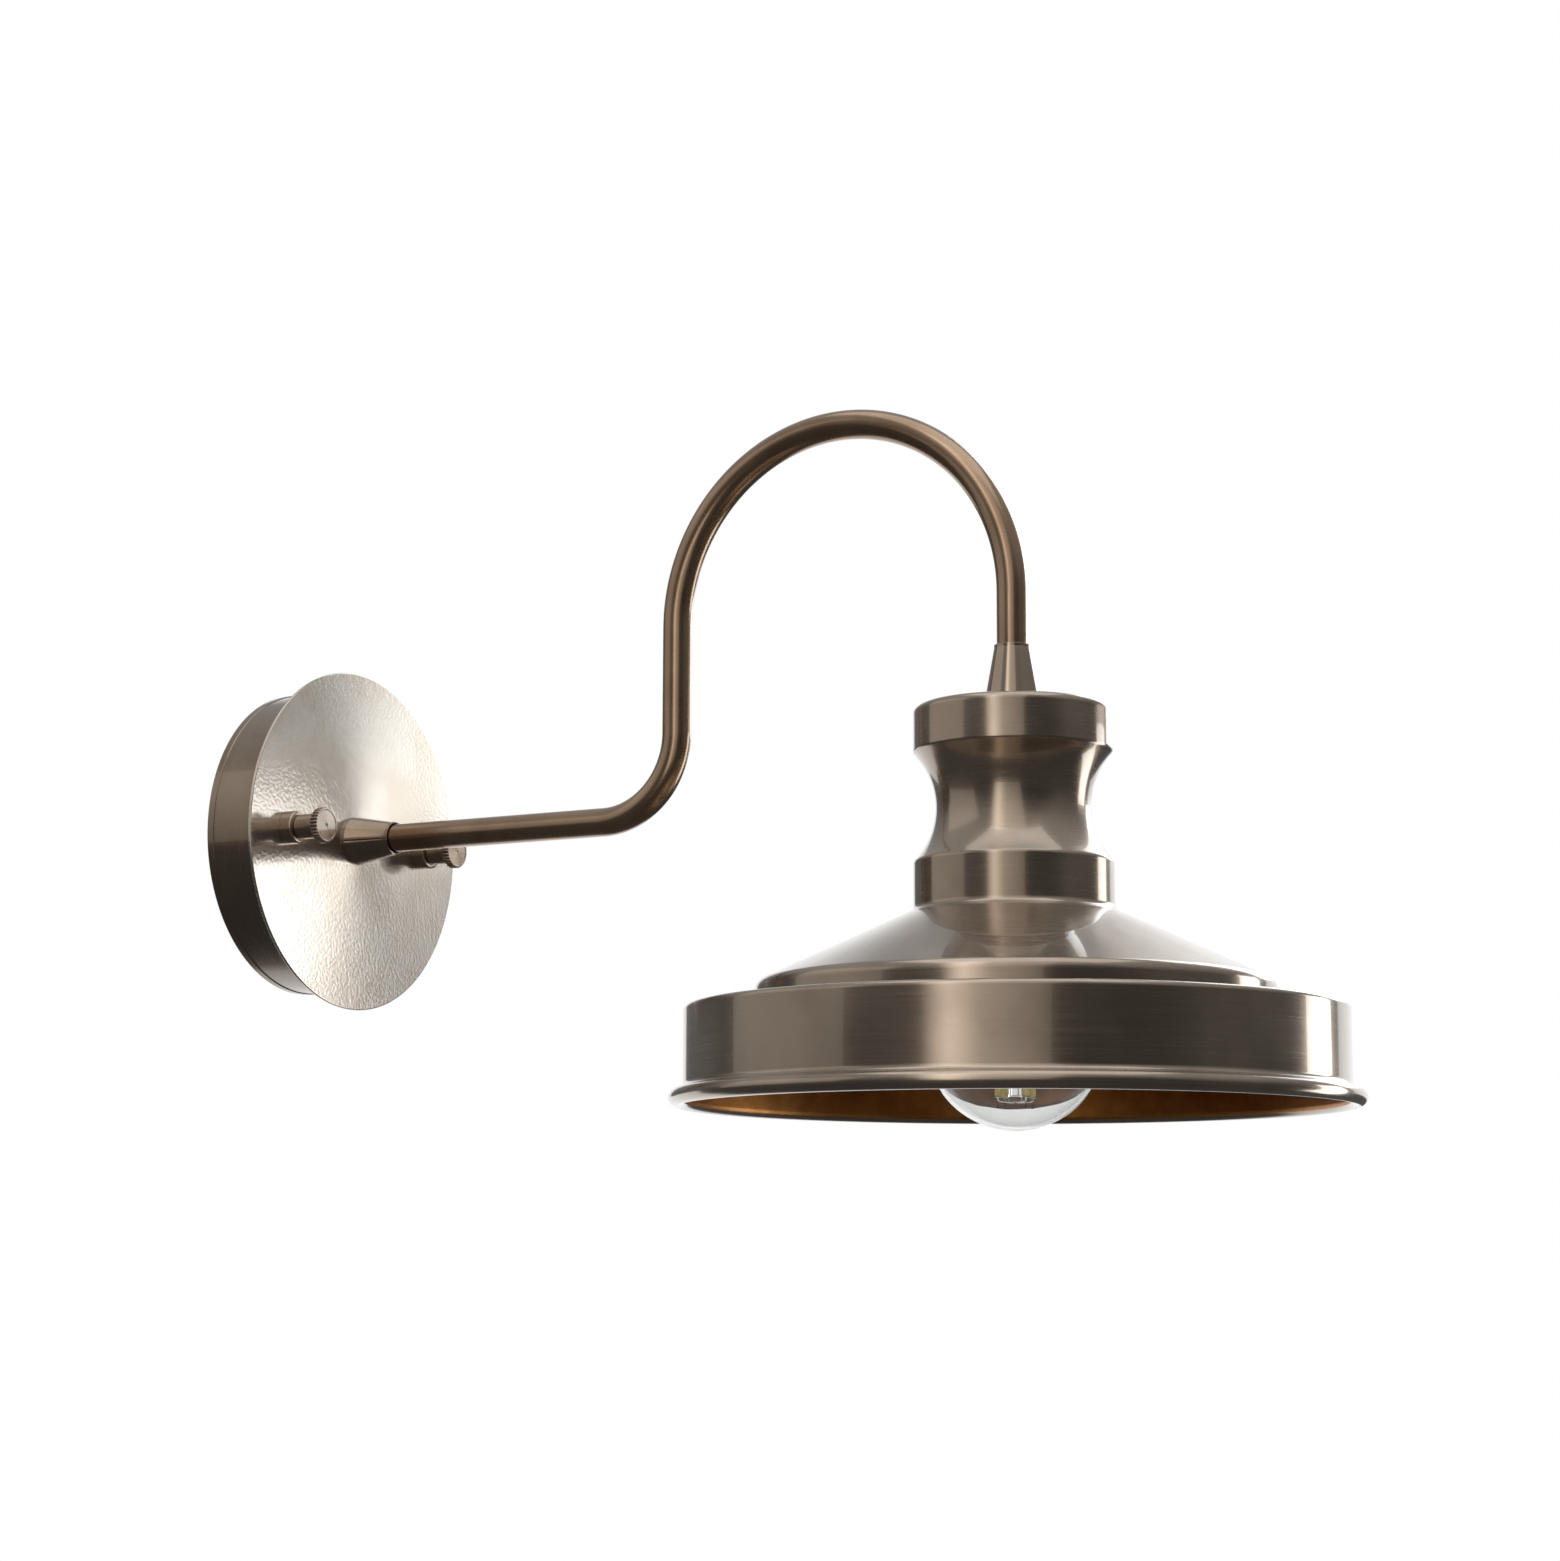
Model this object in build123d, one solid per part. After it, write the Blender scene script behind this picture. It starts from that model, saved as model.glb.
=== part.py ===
from build123d import *
import math
import os

# Gooseneck wall sconce, in millimetres.
# The wall is the plane y = 0 and the arm leaves it along -Y.  +Z is up.
# The origin is the centre of the wall plate's back, on the arm's axis.

# ---- wall plate -------------------------------------------------------------
DISC_DIAMETER = 126.0
DISC_THICKNESS = 1.2
DISC_EDGE_ROUND = 0.4
CANOPY_DIAMETER = 112.0
CANOPY_WALL = 0.9
CANOPY_DEPTH = 23.8
CANOPY_CORNER = 2.0
REAR_LIP_WIDTH = 2.6
REAR_LIP_RISE = 0.3

# ---- bracket behind the plate -------------------------------------------------
BRACKET_LENGTH = 100.0
BRACKET_WIDTH = 22.0
BRACKET_THICKNESS = 1.5
BRACKET_FLAT_LENGTH = 64.0
BRACKET_JOGGLE = 4.0
BRACKET_RAMP = 3.0
BRACKET_CORNER = 4.0
WALL_SLOT_SPACING = 44.0
WALL_SLOT_LENGTH = 12.0
WALL_SLOT_WIDTH = 4.6
CABLE_HOLE_DIAMETER = 14.0
EARTH_SCREW_OFFSET = 37.5
EARTH_SCREW_DROP = 7.3

# ---- screws and nuts ----------------------------------------------------------
NUT_SPACING = 82.0
STUD_DIAMETER = 4.0
STUD_HEAD_DIAMETER = 7.6
STUD_HEAD_HEIGHT = 2.6
STUD_GRIP = 7.4
STUD_TIP_CHAMFER = 0.4
HEX_M4_FLATS = 7.0
HEX_M4_HEIGHT = 3.2
EARTH_TAG_DIAMETER = 7.6
EARTH_TAG_THICKNESS = 0.8
BUSH_DIAMETER = 12.0
BUSH_LENGTH = 5.3
BUSH_ROUND = 0.8
STEM_DIAMETER = 9.0
STEM_LENGTH = 8.9
STEM_FOOT_ROUND = 0.5
NUT_BORE_END_GAP = 0.6
HEAD_DIAMETER = 13.0
HEAD_LENGTH = 3.0
HEAD_CHAMFER = 0.35
KNURL_COUNT = 30
KNURL_DEPTH = 0.35
DIMPLE_DIAMETER = 1.6
DIMPLE_DEPTH = 0.5

# ---- arm ------------------------------------------------------------------------
TUBE_DIAMETER = 10.3
TUBE_WALL = 1.0
THREAD_DIAMETER = 10.0
THREAD_TAIL = 3.0
FIRST_LEG = 164.0
REACH = 295.0
LOWER_BEND_RADIUS = 30.0
ARCH_TOP = 133.5
HEX_M10_FLATS = 14.0
HEX_M10_HEIGHT = 4.0
WASHER_DIAMETER = 16.0
WASHER_THICKNESS = 0.8
WASHER_TEETH = 12
WASHER_TOOTH_DEPTH = 1.6

# ---- cones at both ends of the arm ------------------------------------------------
CONE_TIP_DIAMETER = 12.2
CONE_TIP_LENGTH = 1.0
CONE_MOUTH_DIAMETER = 11.2
CONE_THREAD_LENGTH = 6.0
CONE_FOOT_EDGE = 0.8
WALL_CONE_DIAMETER = 18.0
WALL_CONE_LENGTH = 18.0
SHADE_CONE_DIAMETER = 19.2
SHADE_CONE_LENGTH = 21.0

# ---- shade ------------------------------------------------------------------------
# Depths are measured down from the shade's top.
SHADE_TOP = 28.4
SHADE_WALL = 1.0
CAP_DIAMETER = 66.8
CAP_TOP_ROUND = 2.6
WAIST_START = 15.4
WAIST_END = 52.4
WAIST_DIAMETER = 51.8
CAP_FOOT_ROUND = 1.5
COLLAR_TOP_ROUND = 2.0
COLLAR_FOOT = 68.6
COLLAR_FOOT_ROUND = 2.5
CONE_ANGLE = 24.8
STEP_DIAMETER = 172.0
STEP_ROUND = 3.8
STEP_FILLET = 1.2
BAND_DIAMETER = 219.0
BAND_TOP = 100.7
BAND_ROUND = 1.8
RIM_DEPTH = 130.8
RIM_BEAD_RADIUS = 2.9
RIM_FILLET = 2.0

# ---- lampholder --------------------------------------------------------------------
HOLDER_WALL = 1.3
HOLDER_BOSS_DIAMETER = 16.0
HOLDER_BOSS_LENGTH = 6.5
HOLDER_DOME_RISE = 9.0
HOLDER_DOME_FLOOR = 2.0
HOLDER_BOSS_FILLET = 1.5
HOLDER_DOME_ROUND = 4.0
HOLDER_DOME_INNER_ROUND = 3.0
HOLDER_OVERLAP = 8.0
HOLDER_CAP_DEPTH = 31.6
SLEEVE_WALL = 1.2
SLEEVE_FLANGE = 1.2
SLEEVE_THREAD_DEPTH = 0.7
SLEEVE_FOOT_ROUND = 0.8
CERAMIC_LIFT = 4.0
CERAMIC_WALL = 2.7
CERAMIC_FLOOR = 9.0
CERAMIC_ROUND = 1.0
SHELL_WALL = 0.45
SHELL_LENGTH = 22.5
SHELL_LIP = 2.0
CONTACT_WIDTH = 6.0
CONTACT_THICKNESS = 0.5
CONTACT_RISE = 2.2
CONTACT_FLAT = 5.0
TERMINAL_OFFSET = 9.0
TERMINAL_SIZE = 5.0
TERMINAL_HEIGHT = 4.4
RIVET_DIAMETER = 2.2
CLAMP_SCREW_DIAMETER = 2.6
CLAMP_SCREW_STANDOUT = 0.8
GRUB_DIAMETER = 3.0
SLOT_WIDTH = 0.7
SLOT_DEPTH = 0.5

# ---- lamp: heights are measured up from its foot -------------------------------------
LAMP_DIAMETER = 60.0
LAMP_LENGTH = 105.0
GLASS_WALL = 0.8
NECK_RADIUS = 13.6
NECK_BLEND = 35.0
CAP_START = 77.0
CAP_SKIRT = 3.4
CAP_SKIRT_RADIUS = 13.3
THREAD_PITCH = 3.63
THREAD_TURNS = 5
THREAD_CREST = 13.15
THREAD_ROOT = 12.55
THREAD_FLANK_START = 0.15
THREAD_CREST_START = 0.4
THREAD_CREST_END = 0.7
LAMP_CAP_WALL = 0.4
CAP_SHOULDER_RADIUS = 9.0
CAP_SHOULDER_RISE = 2.4
INSULATOR_RISE = 1.8
INSULATOR_LIP = 0.6
INSULATOR_LEDGE = 1.0
TIP_RADIUS = 4.5
TIP_TAPER = 1.0
DRIVER_START = 86.0
DRIVER_THICKNESS = 1.6
CAPACITOR_RADIUS = 4.0
CAPACITOR_LENGTH = 9.0
CAPACITOR_ROUND = 0.6
GLASS_STEM_RADIUS = 2.2
GLASS_STEM_END = 9.5
GLASS_STEM_ROUND = 1.0
STEM_FLARE_START = 66.0
STEM_FLARE_ROUND = 20.0
STEM_RIM = 1.0
FILAMENT_COUNT = 4
FILAMENT_TURN = 56.0
FILAMENT_RADIUS = 0.9
FILAMENT_TOP = 50.0
FILAMENT_FOOT = 12.0
FILAMENT_TOP_SPREAD = 5.6
FILAMENT_FOOT_SPREAD = 6.6
SUPPORT_RADIUS = 0.3
SUPPORT_DROP = 4.0
SUPPORT_BEND = 1.2

# ---- wiring ------------------------------------------------------------------------
WIRE_DIAMETER = 2.2
WIRE_OFFSET = 1.6
WIRE_BEND = 4.0
WIRE_INSERTION = 3.0
BLOCK_WIDTH = 27.0
BLOCK_HEIGHT = 16.0
BLOCK_DEPTH = 11.0
BLOCK_STANDOFF = 3.0
BLOCK_RISE = 17.0
POLE_PITCH = 8.0
POLE_BORE = 3.0
POLE_SCREW_DIAMETER = 4.0
POLE_SCREW_LENGTH = 2.2
POLE_WELL_DEPTH = 3.0
WIRE_DROP = 5.0
BARREL_RADIUS = 1.6
BARREL_LENGTH = 6.0

# ---- how far cutting bars and filled outlines reach past what they cut ----------------
OVERRUN = 20.0

# ---- clearances --------------------------------------------------------------------
SEAT = 0.1
RUNNING = 0.05
HOLE_CLEARANCE = 0.3
SHELL_CLEARANCE = 0.3

# ---- places worked out from the sizes above ------------------------------------------
DISC_FACE = CANOPY_DEPTH + DISC_THICKNESS
CANOPY_INSIDE = CANOPY_DEPTH - CANOPY_WALL
STUD_X = NUT_SPACING / 2
THREAD_RADIUS = THREAD_DIAMETER / 2
TUBE_RADIUS = TUBE_DIAMETER / 2
BORE_RADIUS = TUBE_RADIUS - TUBE_WALL
ARCH_RADIUS = (REACH - FIRST_LEG) / 2
ARCH_CENTRE_Z = ARCH_TOP - ARCH_RADIUS
WALL_THREAD_END = CANOPY_INSIDE - WASHER_THICKNESS - HEX_M10_HEIGHT - THREAD_TAIL
SHADE_INSIDE = SHADE_TOP - SHADE_WALL
SHADE_WASHER_Z = SHADE_INSIDE - WASHER_THICKNESS
SHADE_NUT_Z = SHADE_WASHER_Z - HEX_M10_HEIGHT
SHADE_THREAD_END = SHADE_NUT_Z - HOLDER_BOSS_LENGTH - THREAD_TAIL
BEAD_RADIAL = BAND_DIAMETER / 2 - SHADE_WALL + RIM_BEAD_RADIUS

HOLDER_CAP_FOOT = SHADE_NUT_Z - HOLDER_CAP_DEPTH
CERAMIC_BASE = HOLDER_CAP_FOOT + CERAMIC_LIFT
CERAMIC_TOP = CERAMIC_BASE + CERAMIC_FLOOR
TERMINAL_CENTRE = CERAMIC_TOP + TERMINAL_HEIGHT / 2
SHELL_BORE = THREAD_CREST + SHELL_CLEARANCE
SHELL_OUTSIDE = SHELL_BORE + SHELL_WALL
CERAMIC_BORE = SHELL_OUTSIDE + SEAT
CERAMIC_RADIUS = CERAMIC_BORE + CERAMIC_WALL
SLEEVE_BORE = CERAMIC_RADIUS + SEAT
SLEEVE_RADIUS = SLEEVE_BORE + SLEEVE_WALL
HOLDER_BORE = SLEEVE_RADIUS + SLEEVE_THREAD_DEPTH
HOLDER_RADIUS = HOLDER_BORE + HOLDER_WALL
SHELL_FOOT = CERAMIC_BASE - SHELL_LENGTH
CERAMIC_FOOT = SHELL_FOOT - SHELL_WALL
SLEEVE_FOOT = CERAMIC_FOOT - SLEEVE_FLANGE

LAMP_TIP = CERAMIC_BASE - CONTACT_THICKNESS - CONTACT_RISE
LAMP_BOTTOM = LAMP_TIP - LAMP_LENGTH
LAMP_CAP_TOP = CAP_START + CAP_SKIRT + THREAD_TURNS * THREAD_PITCH + CAP_SHOULDER_RISE
NECK_END = CAP_START + CAP_SKIRT
NECK_END_RADIUS = CAP_SKIRT_RADIUS - LAMP_CAP_WALL - SEAT

POLE_DEPTH = BLOCK_STANDOFF + BLOCK_DEPTH / 2
BLOCK_CENTRE = BLOCK_RISE + BLOCK_HEIGHT / 2
BRACKET_FACE = BRACKET_JOGGLE + BRACKET_THICKNESS

# Heights are turned about +Z; depths from the wall are turned about the arm's axis.
UPRIGHT = Plane.XZ
OUTWARD = Plane(origin=(0, 0, 0), x_dir=(1, 0, 0), z_dir=(0, 0, -1))


# ---- helpers -------------------------------------------------------------------------
def outline(*points, rounds=None):
    """A closed flat outline of (radius, height) corners; rounds gives some corners a radius."""
    rounds = rounds or {}
    radii = [rounds.get(index, 0) for index in range(len(points))]
    return make_face(FilletPolyline(*points, radius=radii, close=True))


def turned_up(section):
    """Turn an outline of radius and height about the Z axis."""
    return revolve(UPRIGHT * section, axis=Axis.Z)


def turned_out(section):
    """Turn an outline of radius and depth about the arm's axis, which runs along -Y."""
    return revolve(OUTWARD * section, axis=Axis.Y)


def ring(inner, outer, low, high):
    """The outline of a plain ring between two radii and two heights."""
    return outline((inner, low), (outer, low), (outer, high), (inner, high))


def peg(radius, low, high):
    """The outline of a plain round bar, from its axis outward."""
    return outline((0, low), (radius, low), (radius, high), (0, high))


def at_shade(part):
    """Move a part that was turned about Z to the shade's axis."""
    return Pos(0, -REACH, 0) * part


def at_stud(part, side):
    """Move a part that was turned about the arm's axis to one of the two studs."""
    return Pos(side * STUD_X, 0, 0) * part


def hexagon(flats, bore_radius, height):
    """A hex nut lying on z = 0."""
    blank = RegularPolygon(radius=flats / 2, side_count=6, major_radius=False)
    return extrude(blank - Circle(bore_radius), amount=height)


def toothed_washer(bore_radius):
    """A star washer lying on z = 0, with teeth round its edge."""
    points = []
    for step in range(2 * WASHER_TEETH):
        turn = math.pi * step / WASHER_TEETH
        radius = WASHER_DIAMETER / 2 if step % 2 else WASHER_DIAMETER / 2 - WASHER_TOOTH_DEPTH
        points.append((radius * math.cos(turn), radius * math.sin(turn)))
    blank = make_face(Polyline(*points, close=True))
    return extrude(blank - Circle(bore_radius), amount=WASHER_THICKNESS)


def facing_out(part, depth):
    """Turn a part that stands on z = 0 so that it points out of the wall, at a depth."""
    return Pos(0, -depth, 0) * Rot(90, 0, 0) * part


def join(*edges):
    """One wire out of lines and arcs that follow each other."""
    return Wire([edge for item in edges for edge in item.edges()])


def swept(path, radius):
    """A round bar along a path."""
    start = Plane(origin=path @ 0, z_dir=path % 0)
    return sweep(start * Circle(radius), path=path)


# ---- wall plate ------------------------------------------------------------------------
def stud_holes(radius):
    """The two round bars that cut the stud holes through the plate."""
    bar = turned_out(peg(radius, CANOPY_INSIDE - SEAT, DISC_FACE + SEAT))
    return [at_stud(bar, side) for side in (-1, 1)]


def canopy_cup():
    """The drum: a spun cup, open towards the wall, with a turned lip at its back."""
    outside = CANOPY_DIAMETER / 2
    inside = outside - CANOPY_WALL
    arm_hole = THREAD_RADIUS + HOLE_CLEARANCE
    section = outline(
        (inside, 0), (outside + REAR_LIP_RISE, 0), (outside + REAR_LIP_RISE, REAR_LIP_WIDTH),
        (outside, REAR_LIP_WIDTH + REAR_LIP_RISE), (outside, CANOPY_DEPTH), (arm_hole, CANOPY_DEPTH),
        (arm_hole, CANOPY_INSIDE), (inside, CANOPY_INSIDE),
        rounds={4: CANOPY_CORNER, 7: CANOPY_CORNER - CANOPY_WALL},
    )
    return turned_out(section) - stud_holes(STUD_DIAMETER / 2 + HOLE_CLEARANCE)


def canopy_disc():
    """The flat disc that caps the drum and stands proud of it all round."""
    outside = DISC_DIAMETER / 2
    arm_hole = THREAD_RADIUS + HOLE_CLEARANCE
    section = outline(
        (arm_hole, CANOPY_DEPTH), (outside, CANOPY_DEPTH), (outside, DISC_FACE), (arm_hole, DISC_FACE),
        rounds={1: DISC_EDGE_ROUND, 2: DISC_EDGE_ROUND},
    )
    return turned_out(section) - stud_holes(STUD_DIAMETER / 2 + HOLE_CLEARANCE)


# ---- bracket -----------------------------------------------------------------------------
def bracket_line(lift):
    """The strap's bent centre line from end to end, lifted off the wall."""
    flat = BRACKET_FLAT_LENGTH / 2
    end = BRACKET_LENGTH / 2
    high = lift + BRACKET_JOGGLE
    half = [(flat, lift), (flat + BRACKET_RAMP, high), (end, high)]
    return [(-x, -y) for x, y in reversed(half)] + [(x, -y) for x, y in half]


def wall_bracket():
    """A steel strap, flat on the wall in the middle, with raised ends that carry the studs."""
    edge = bracket_line(0) + list(reversed(bracket_line(BRACKET_THICKNESS)))
    strap = extrude(make_face(Polyline(*edge, close=True)), amount=BRACKET_WIDTH / 2, both=True)
    ends = strap.edges().filter_by(Axis.Y).group_by(Axis.X)
    strap = fillet(ends[0] + ends[-1], BRACKET_CORNER)
    cable_hole = facing_out(Cylinder(CABLE_HOLE_DIAMETER / 2, 2 * OVERRUN), 0)
    slot_bar = extrude(SlotOverall(WALL_SLOT_LENGTH, WALL_SLOT_WIDTH), amount=OVERRUN, both=True)
    slot = facing_out(slot_bar, 0)
    slots = [Pos(side * WALL_SLOT_SPACING / 2, 0, 0) * slot for side in (-1, 1)]
    stud_hole = turned_out(peg(STUD_DIAMETER / 2 + SEAT, -OVERRUN, OVERRUN))
    stud_bores = [at_stud(stud_hole, side) for side in (-1, 1)]
    earth_hole = Pos(EARTH_SCREW_OFFSET, 0, -EARTH_SCREW_DROP) * stud_hole
    return strap - cable_hole - slots - stud_bores - earth_hole


def bracket_studs():
    """Two machine screws pushed through the raised ends from behind."""
    back = BRACKET_JOGGLE
    tip = DISC_FACE + BUSH_LENGTH + STUD_GRIP
    shank = peg(STUD_DIAMETER / 2, back, tip)
    head = peg(STUD_HEAD_DIAMETER / 2, back - STUD_HEAD_HEIGHT, back)
    stud = turned_out(shank) + turned_out(head)
    tip_edge = stud.edges().group_by(Axis.Y)[0]
    stud = chamfer(tip_edge, STUD_TIP_CHAMFER)
    return Compound(children=[at_stud(stud, side) for side in (-1, 1)])


def stud_nuts():
    """Two hex nuts that lock the studs to the bracket."""
    nut = facing_out(hexagon(HEX_M4_FLATS, STUD_DIAMETER / 2 + RUNNING, HEX_M4_HEIGHT),
                     BRACKET_JOGGLE + BRACKET_THICKNESS)
    return Compound(children=[at_stud(nut, side) for side in (-1, 1)])


def earth_place(part):
    """Move a part that was turned about the arm's axis to the earth screw."""
    return Pos(EARTH_SCREW_OFFSET, 0, -EARTH_SCREW_DROP) * part


# ---- thumb nuts ----------------------------------------------------------------------------
def nut_bush():
    """The plain round foot under a thumb nut; it slides along the stud without turning."""
    section = outline(
        (STUD_DIAMETER / 2 + RUNNING, DISC_FACE), (BUSH_DIAMETER / 2, DISC_FACE),
        (BUSH_DIAMETER / 2, DISC_FACE + BUSH_LENGTH),
        (STUD_DIAMETER / 2 + RUNNING, DISC_FACE + BUSH_LENGTH),
        rounds={2: BUSH_ROUND},
    )
    return turned_out(section)


def knurled_head(start):
    """The nut's head: a short bar with straight knurls round its edge."""
    points = []
    for step in range(2 * KNURL_COUNT):
        turn = math.pi * step / KNURL_COUNT
        radius = HEAD_DIAMETER / 2 - (KNURL_DEPTH if step % 2 else 0)
        points.append((radius * math.cos(turn), radius * math.sin(turn)))
    blank = extrude(make_face(Polyline(*points, close=True)), amount=HEAD_LENGTH)
    bevel_root = HEAD_DIAMETER / 2 - HEAD_CHAMFER
    bevelled = turned_up(outline(
        (0, 0), (bevel_root, 0), (HEAD_DIAMETER / 2, HEAD_CHAMFER),
        (HEAD_DIAMETER / 2, HEAD_LENGTH - HEAD_CHAMFER), (bevel_root, HEAD_LENGTH), (0, HEAD_LENGTH),
    ))
    return facing_out(blank & bevelled, start)


def thumb_nut():
    """A turned stem with a knurled head and a blind thread; a small dimple marks its face."""
    foot = DISC_FACE + BUSH_LENGTH
    head_start = foot + STEM_LENGTH
    face = head_start + HEAD_LENGTH
    stem = turned_out(outline(
        (0, foot), (STEM_DIAMETER / 2, foot), (STEM_DIAMETER / 2, head_start), (0, head_start),
        rounds={1: STEM_FOOT_ROUND},
    ))
    bore = turned_out(peg(STUD_DIAMETER / 2 + RUNNING, foot, foot + STUD_GRIP + NUT_BORE_END_GAP))
    dimple = turned_out(outline((0, face - DIMPLE_DEPTH), (DIMPLE_DIAMETER / 2, face), (0, face)))
    return stem + knurled_head(head_start) - bore - dimple


# ---- arm ---------------------------------------------------------------------------------
def arm_spine(offset_x):
    """The bent part of the arm: from the start of the lower bend to the end of the arch."""
    lean = 1 - math.sqrt(0.5)
    bend_start = FIRST_LEG - LOWER_BEND_RADIUS
    bend_middle = (offset_x, -FIRST_LEG + lean * LOWER_BEND_RADIUS, lean * LOWER_BEND_RADIUS)
    bend_end = (offset_x, -FIRST_LEG, LOWER_BEND_RADIUS)
    arch_start = (offset_x, -FIRST_LEG, ARCH_CENTRE_Z)
    arch_middle = (offset_x, -(FIRST_LEG + REACH) / 2, ARCH_TOP)
    arch_end = (offset_x, -REACH, ARCH_CENTRE_Z)
    return [
        ThreePointArc((offset_x, -bend_start, 0), bend_middle, bend_end),
        Line(bend_end, arch_start),
        ThreePointArc(arch_start, arch_middle, arch_end),
    ]


def arm_path():
    """The whole centre line of the arm, from inside the wall plate to inside the shade."""
    spine = arm_spine(0)
    first = Line((0, -WALL_THREAD_END, 0), spine[0] @ 0)
    last = Line(spine[-1] @ 1, (0, -REACH, SHADE_THREAD_END))
    return join(first, *spine, last)


def gooseneck_tube():
    """One bent tube; both ends are turned down to the thread's size."""
    path = arm_path()
    tube = swept(path, TUBE_RADIUS) - swept(path, BORE_RADIUS)
    over = 2 * TUBE_RADIUS
    wall_end = turned_out(
        ring(THREAD_RADIUS, over, WALL_THREAD_END - SEAT, DISC_FACE + CONE_THREAD_LENGTH))
    shade_end = at_shade(turned_up(
        ring(THREAD_RADIUS, over, SHADE_THREAD_END - SEAT, SHADE_TOP + CONE_THREAD_LENGTH)))
    return tube - wall_end - shade_end


def cone_outline(large_diameter, length, foot):
    """A cone that screws on the tube's end; its mouth is wider than the tube it surrounds."""
    thread = THREAD_RADIUS + RUNNING
    mouth = CONE_MOUTH_DIAMETER / 2
    tip = CONE_TIP_DIAMETER / 2
    return outline(
        (thread, foot), (large_diameter / 2, foot), (large_diameter / 2, foot + CONE_FOOT_EDGE),
        (tip, foot + length - CONE_TIP_LENGTH), (tip, foot + length), (mouth, foot + length),
        (mouth, foot + CONE_THREAD_LENGTH - SEAT), (thread, foot + CONE_THREAD_LENGTH - SEAT),
    )


def wall_cone():
    return turned_out(cone_outline(WALL_CONE_DIAMETER, WALL_CONE_LENGTH, DISC_FACE))


def shade_cone():
    return at_shade(turned_up(cone_outline(SHADE_CONE_DIAMETER, SHADE_CONE_LENGTH, SHADE_TOP)))


def arm_washer():
    return facing_out(toothed_washer(THREAD_RADIUS + RUNNING), CANOPY_INSIDE - WASHER_THICKNESS)


def arm_nut():
    nut = hexagon(HEX_M10_FLATS, THREAD_RADIUS + RUNNING, HEX_M10_HEIGHT)
    return facing_out(nut, CANOPY_INSIDE - WASHER_THICKNESS - HEX_M10_HEIGHT)


def shade_washer():
    return at_shade(Pos(0, 0, SHADE_WASHER_Z) * toothed_washer(THREAD_RADIUS + RUNNING))


def shade_nut():
    nut = hexagon(HEX_M10_FLATS, THREAD_RADIUS + RUNNING, HEX_M10_HEIGHT)
    return at_shade(Pos(0, 0, SHADE_NUT_Z) * nut)


# ---- shade ---------------------------------------------------------------------------------
def waist_hollow():
    """The circle whose arc hollows the neck between the cap and the collar."""
    half_opening = (WAIST_END - WAIST_START) / 2
    depth = (CAP_DIAMETER - WAIST_DIAMETER) / 2
    radius = (half_opening ** 2 + depth ** 2) / (2 * depth)
    centre = (WAIST_DIAMETER / 2 + radius, -(WAIST_START + WAIST_END) / 2)
    return Pos(*centre) * Circle(radius)


def shade_silhouette():
    """The shade's outside, filled in past its axis and carried on below the rim."""
    cap = CAP_DIAMETER / 2
    step = STEP_DIAMETER / 2
    band = BAND_DIAMETER / 2
    step_top = COLLAR_FOOT + (step - cap) * math.tan(math.radians(CONE_ANGLE))
    past_axis = -OVERRUN
    below_rim = -RIM_DEPTH - OVERRUN
    block = outline(
        (past_axis, 0), (cap, 0), (cap, -COLLAR_FOOT), (step, -step_top), (step, -BAND_TOP),
        (band, -BAND_TOP), (band, below_rim), (past_axis, below_rim),
        rounds={1: CAP_TOP_ROUND, 2: COLLAR_FOOT_ROUND, 3: STEP_ROUND, 4: STEP_FILLET, 5: BAND_ROUND},
    )
    necked = block - waist_hollow()
    corners = necked.vertices().sort_by_distance((cap, -WAIST_START))
    necked = fillet(corners[:1], CAP_FOOT_ROUND)
    corners = necked.vertices().sort_by_distance((cap, -WAIST_END))
    return fillet(corners[:1], COLLAR_TOP_ROUND)


def rim_section():
    """The rolled rim: a bead outside the band's foot, with a small fillet above it."""
    band = BAND_DIAMETER / 2
    fillet_x = band + RIM_FILLET
    rise = math.sqrt((RIM_BEAD_RADIUS + RIM_FILLET) ** 2 - (BEAD_RADIAL - fillet_x) ** 2)
    inside = band - SHADE_WALL / 2
    web = make_face(Polyline(
        (inside, rise), (fillet_x, rise), (BEAD_RADIAL, 0), (inside, 0), close=True))
    web = web - Pos(fillet_x, rise) * Circle(RIM_FILLET)
    return web + Pos(BEAD_RADIAL, 0) * Circle(RIM_BEAD_RADIUS)


def shade():
    """One spun shell: cap, waist, collar, cone, band and rolled rim, open below."""
    outside = shade_silhouette()
    skin = outside - offset(outside, amount=-SHADE_WALL)
    hole = THREAD_RADIUS + HOLE_CLEARANCE
    keep = Pos(hole, -RIM_DEPTH) * Rectangle(
        BAND_DIAMETER, RIM_DEPTH + OVERRUN, align=(Align.MIN, Align.MIN))
    section = (skin & keep) + Pos(0, -RIM_DEPTH) * rim_section()
    return at_shade(Pos(0, 0, SHADE_TOP) * turned_up(section))


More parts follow.
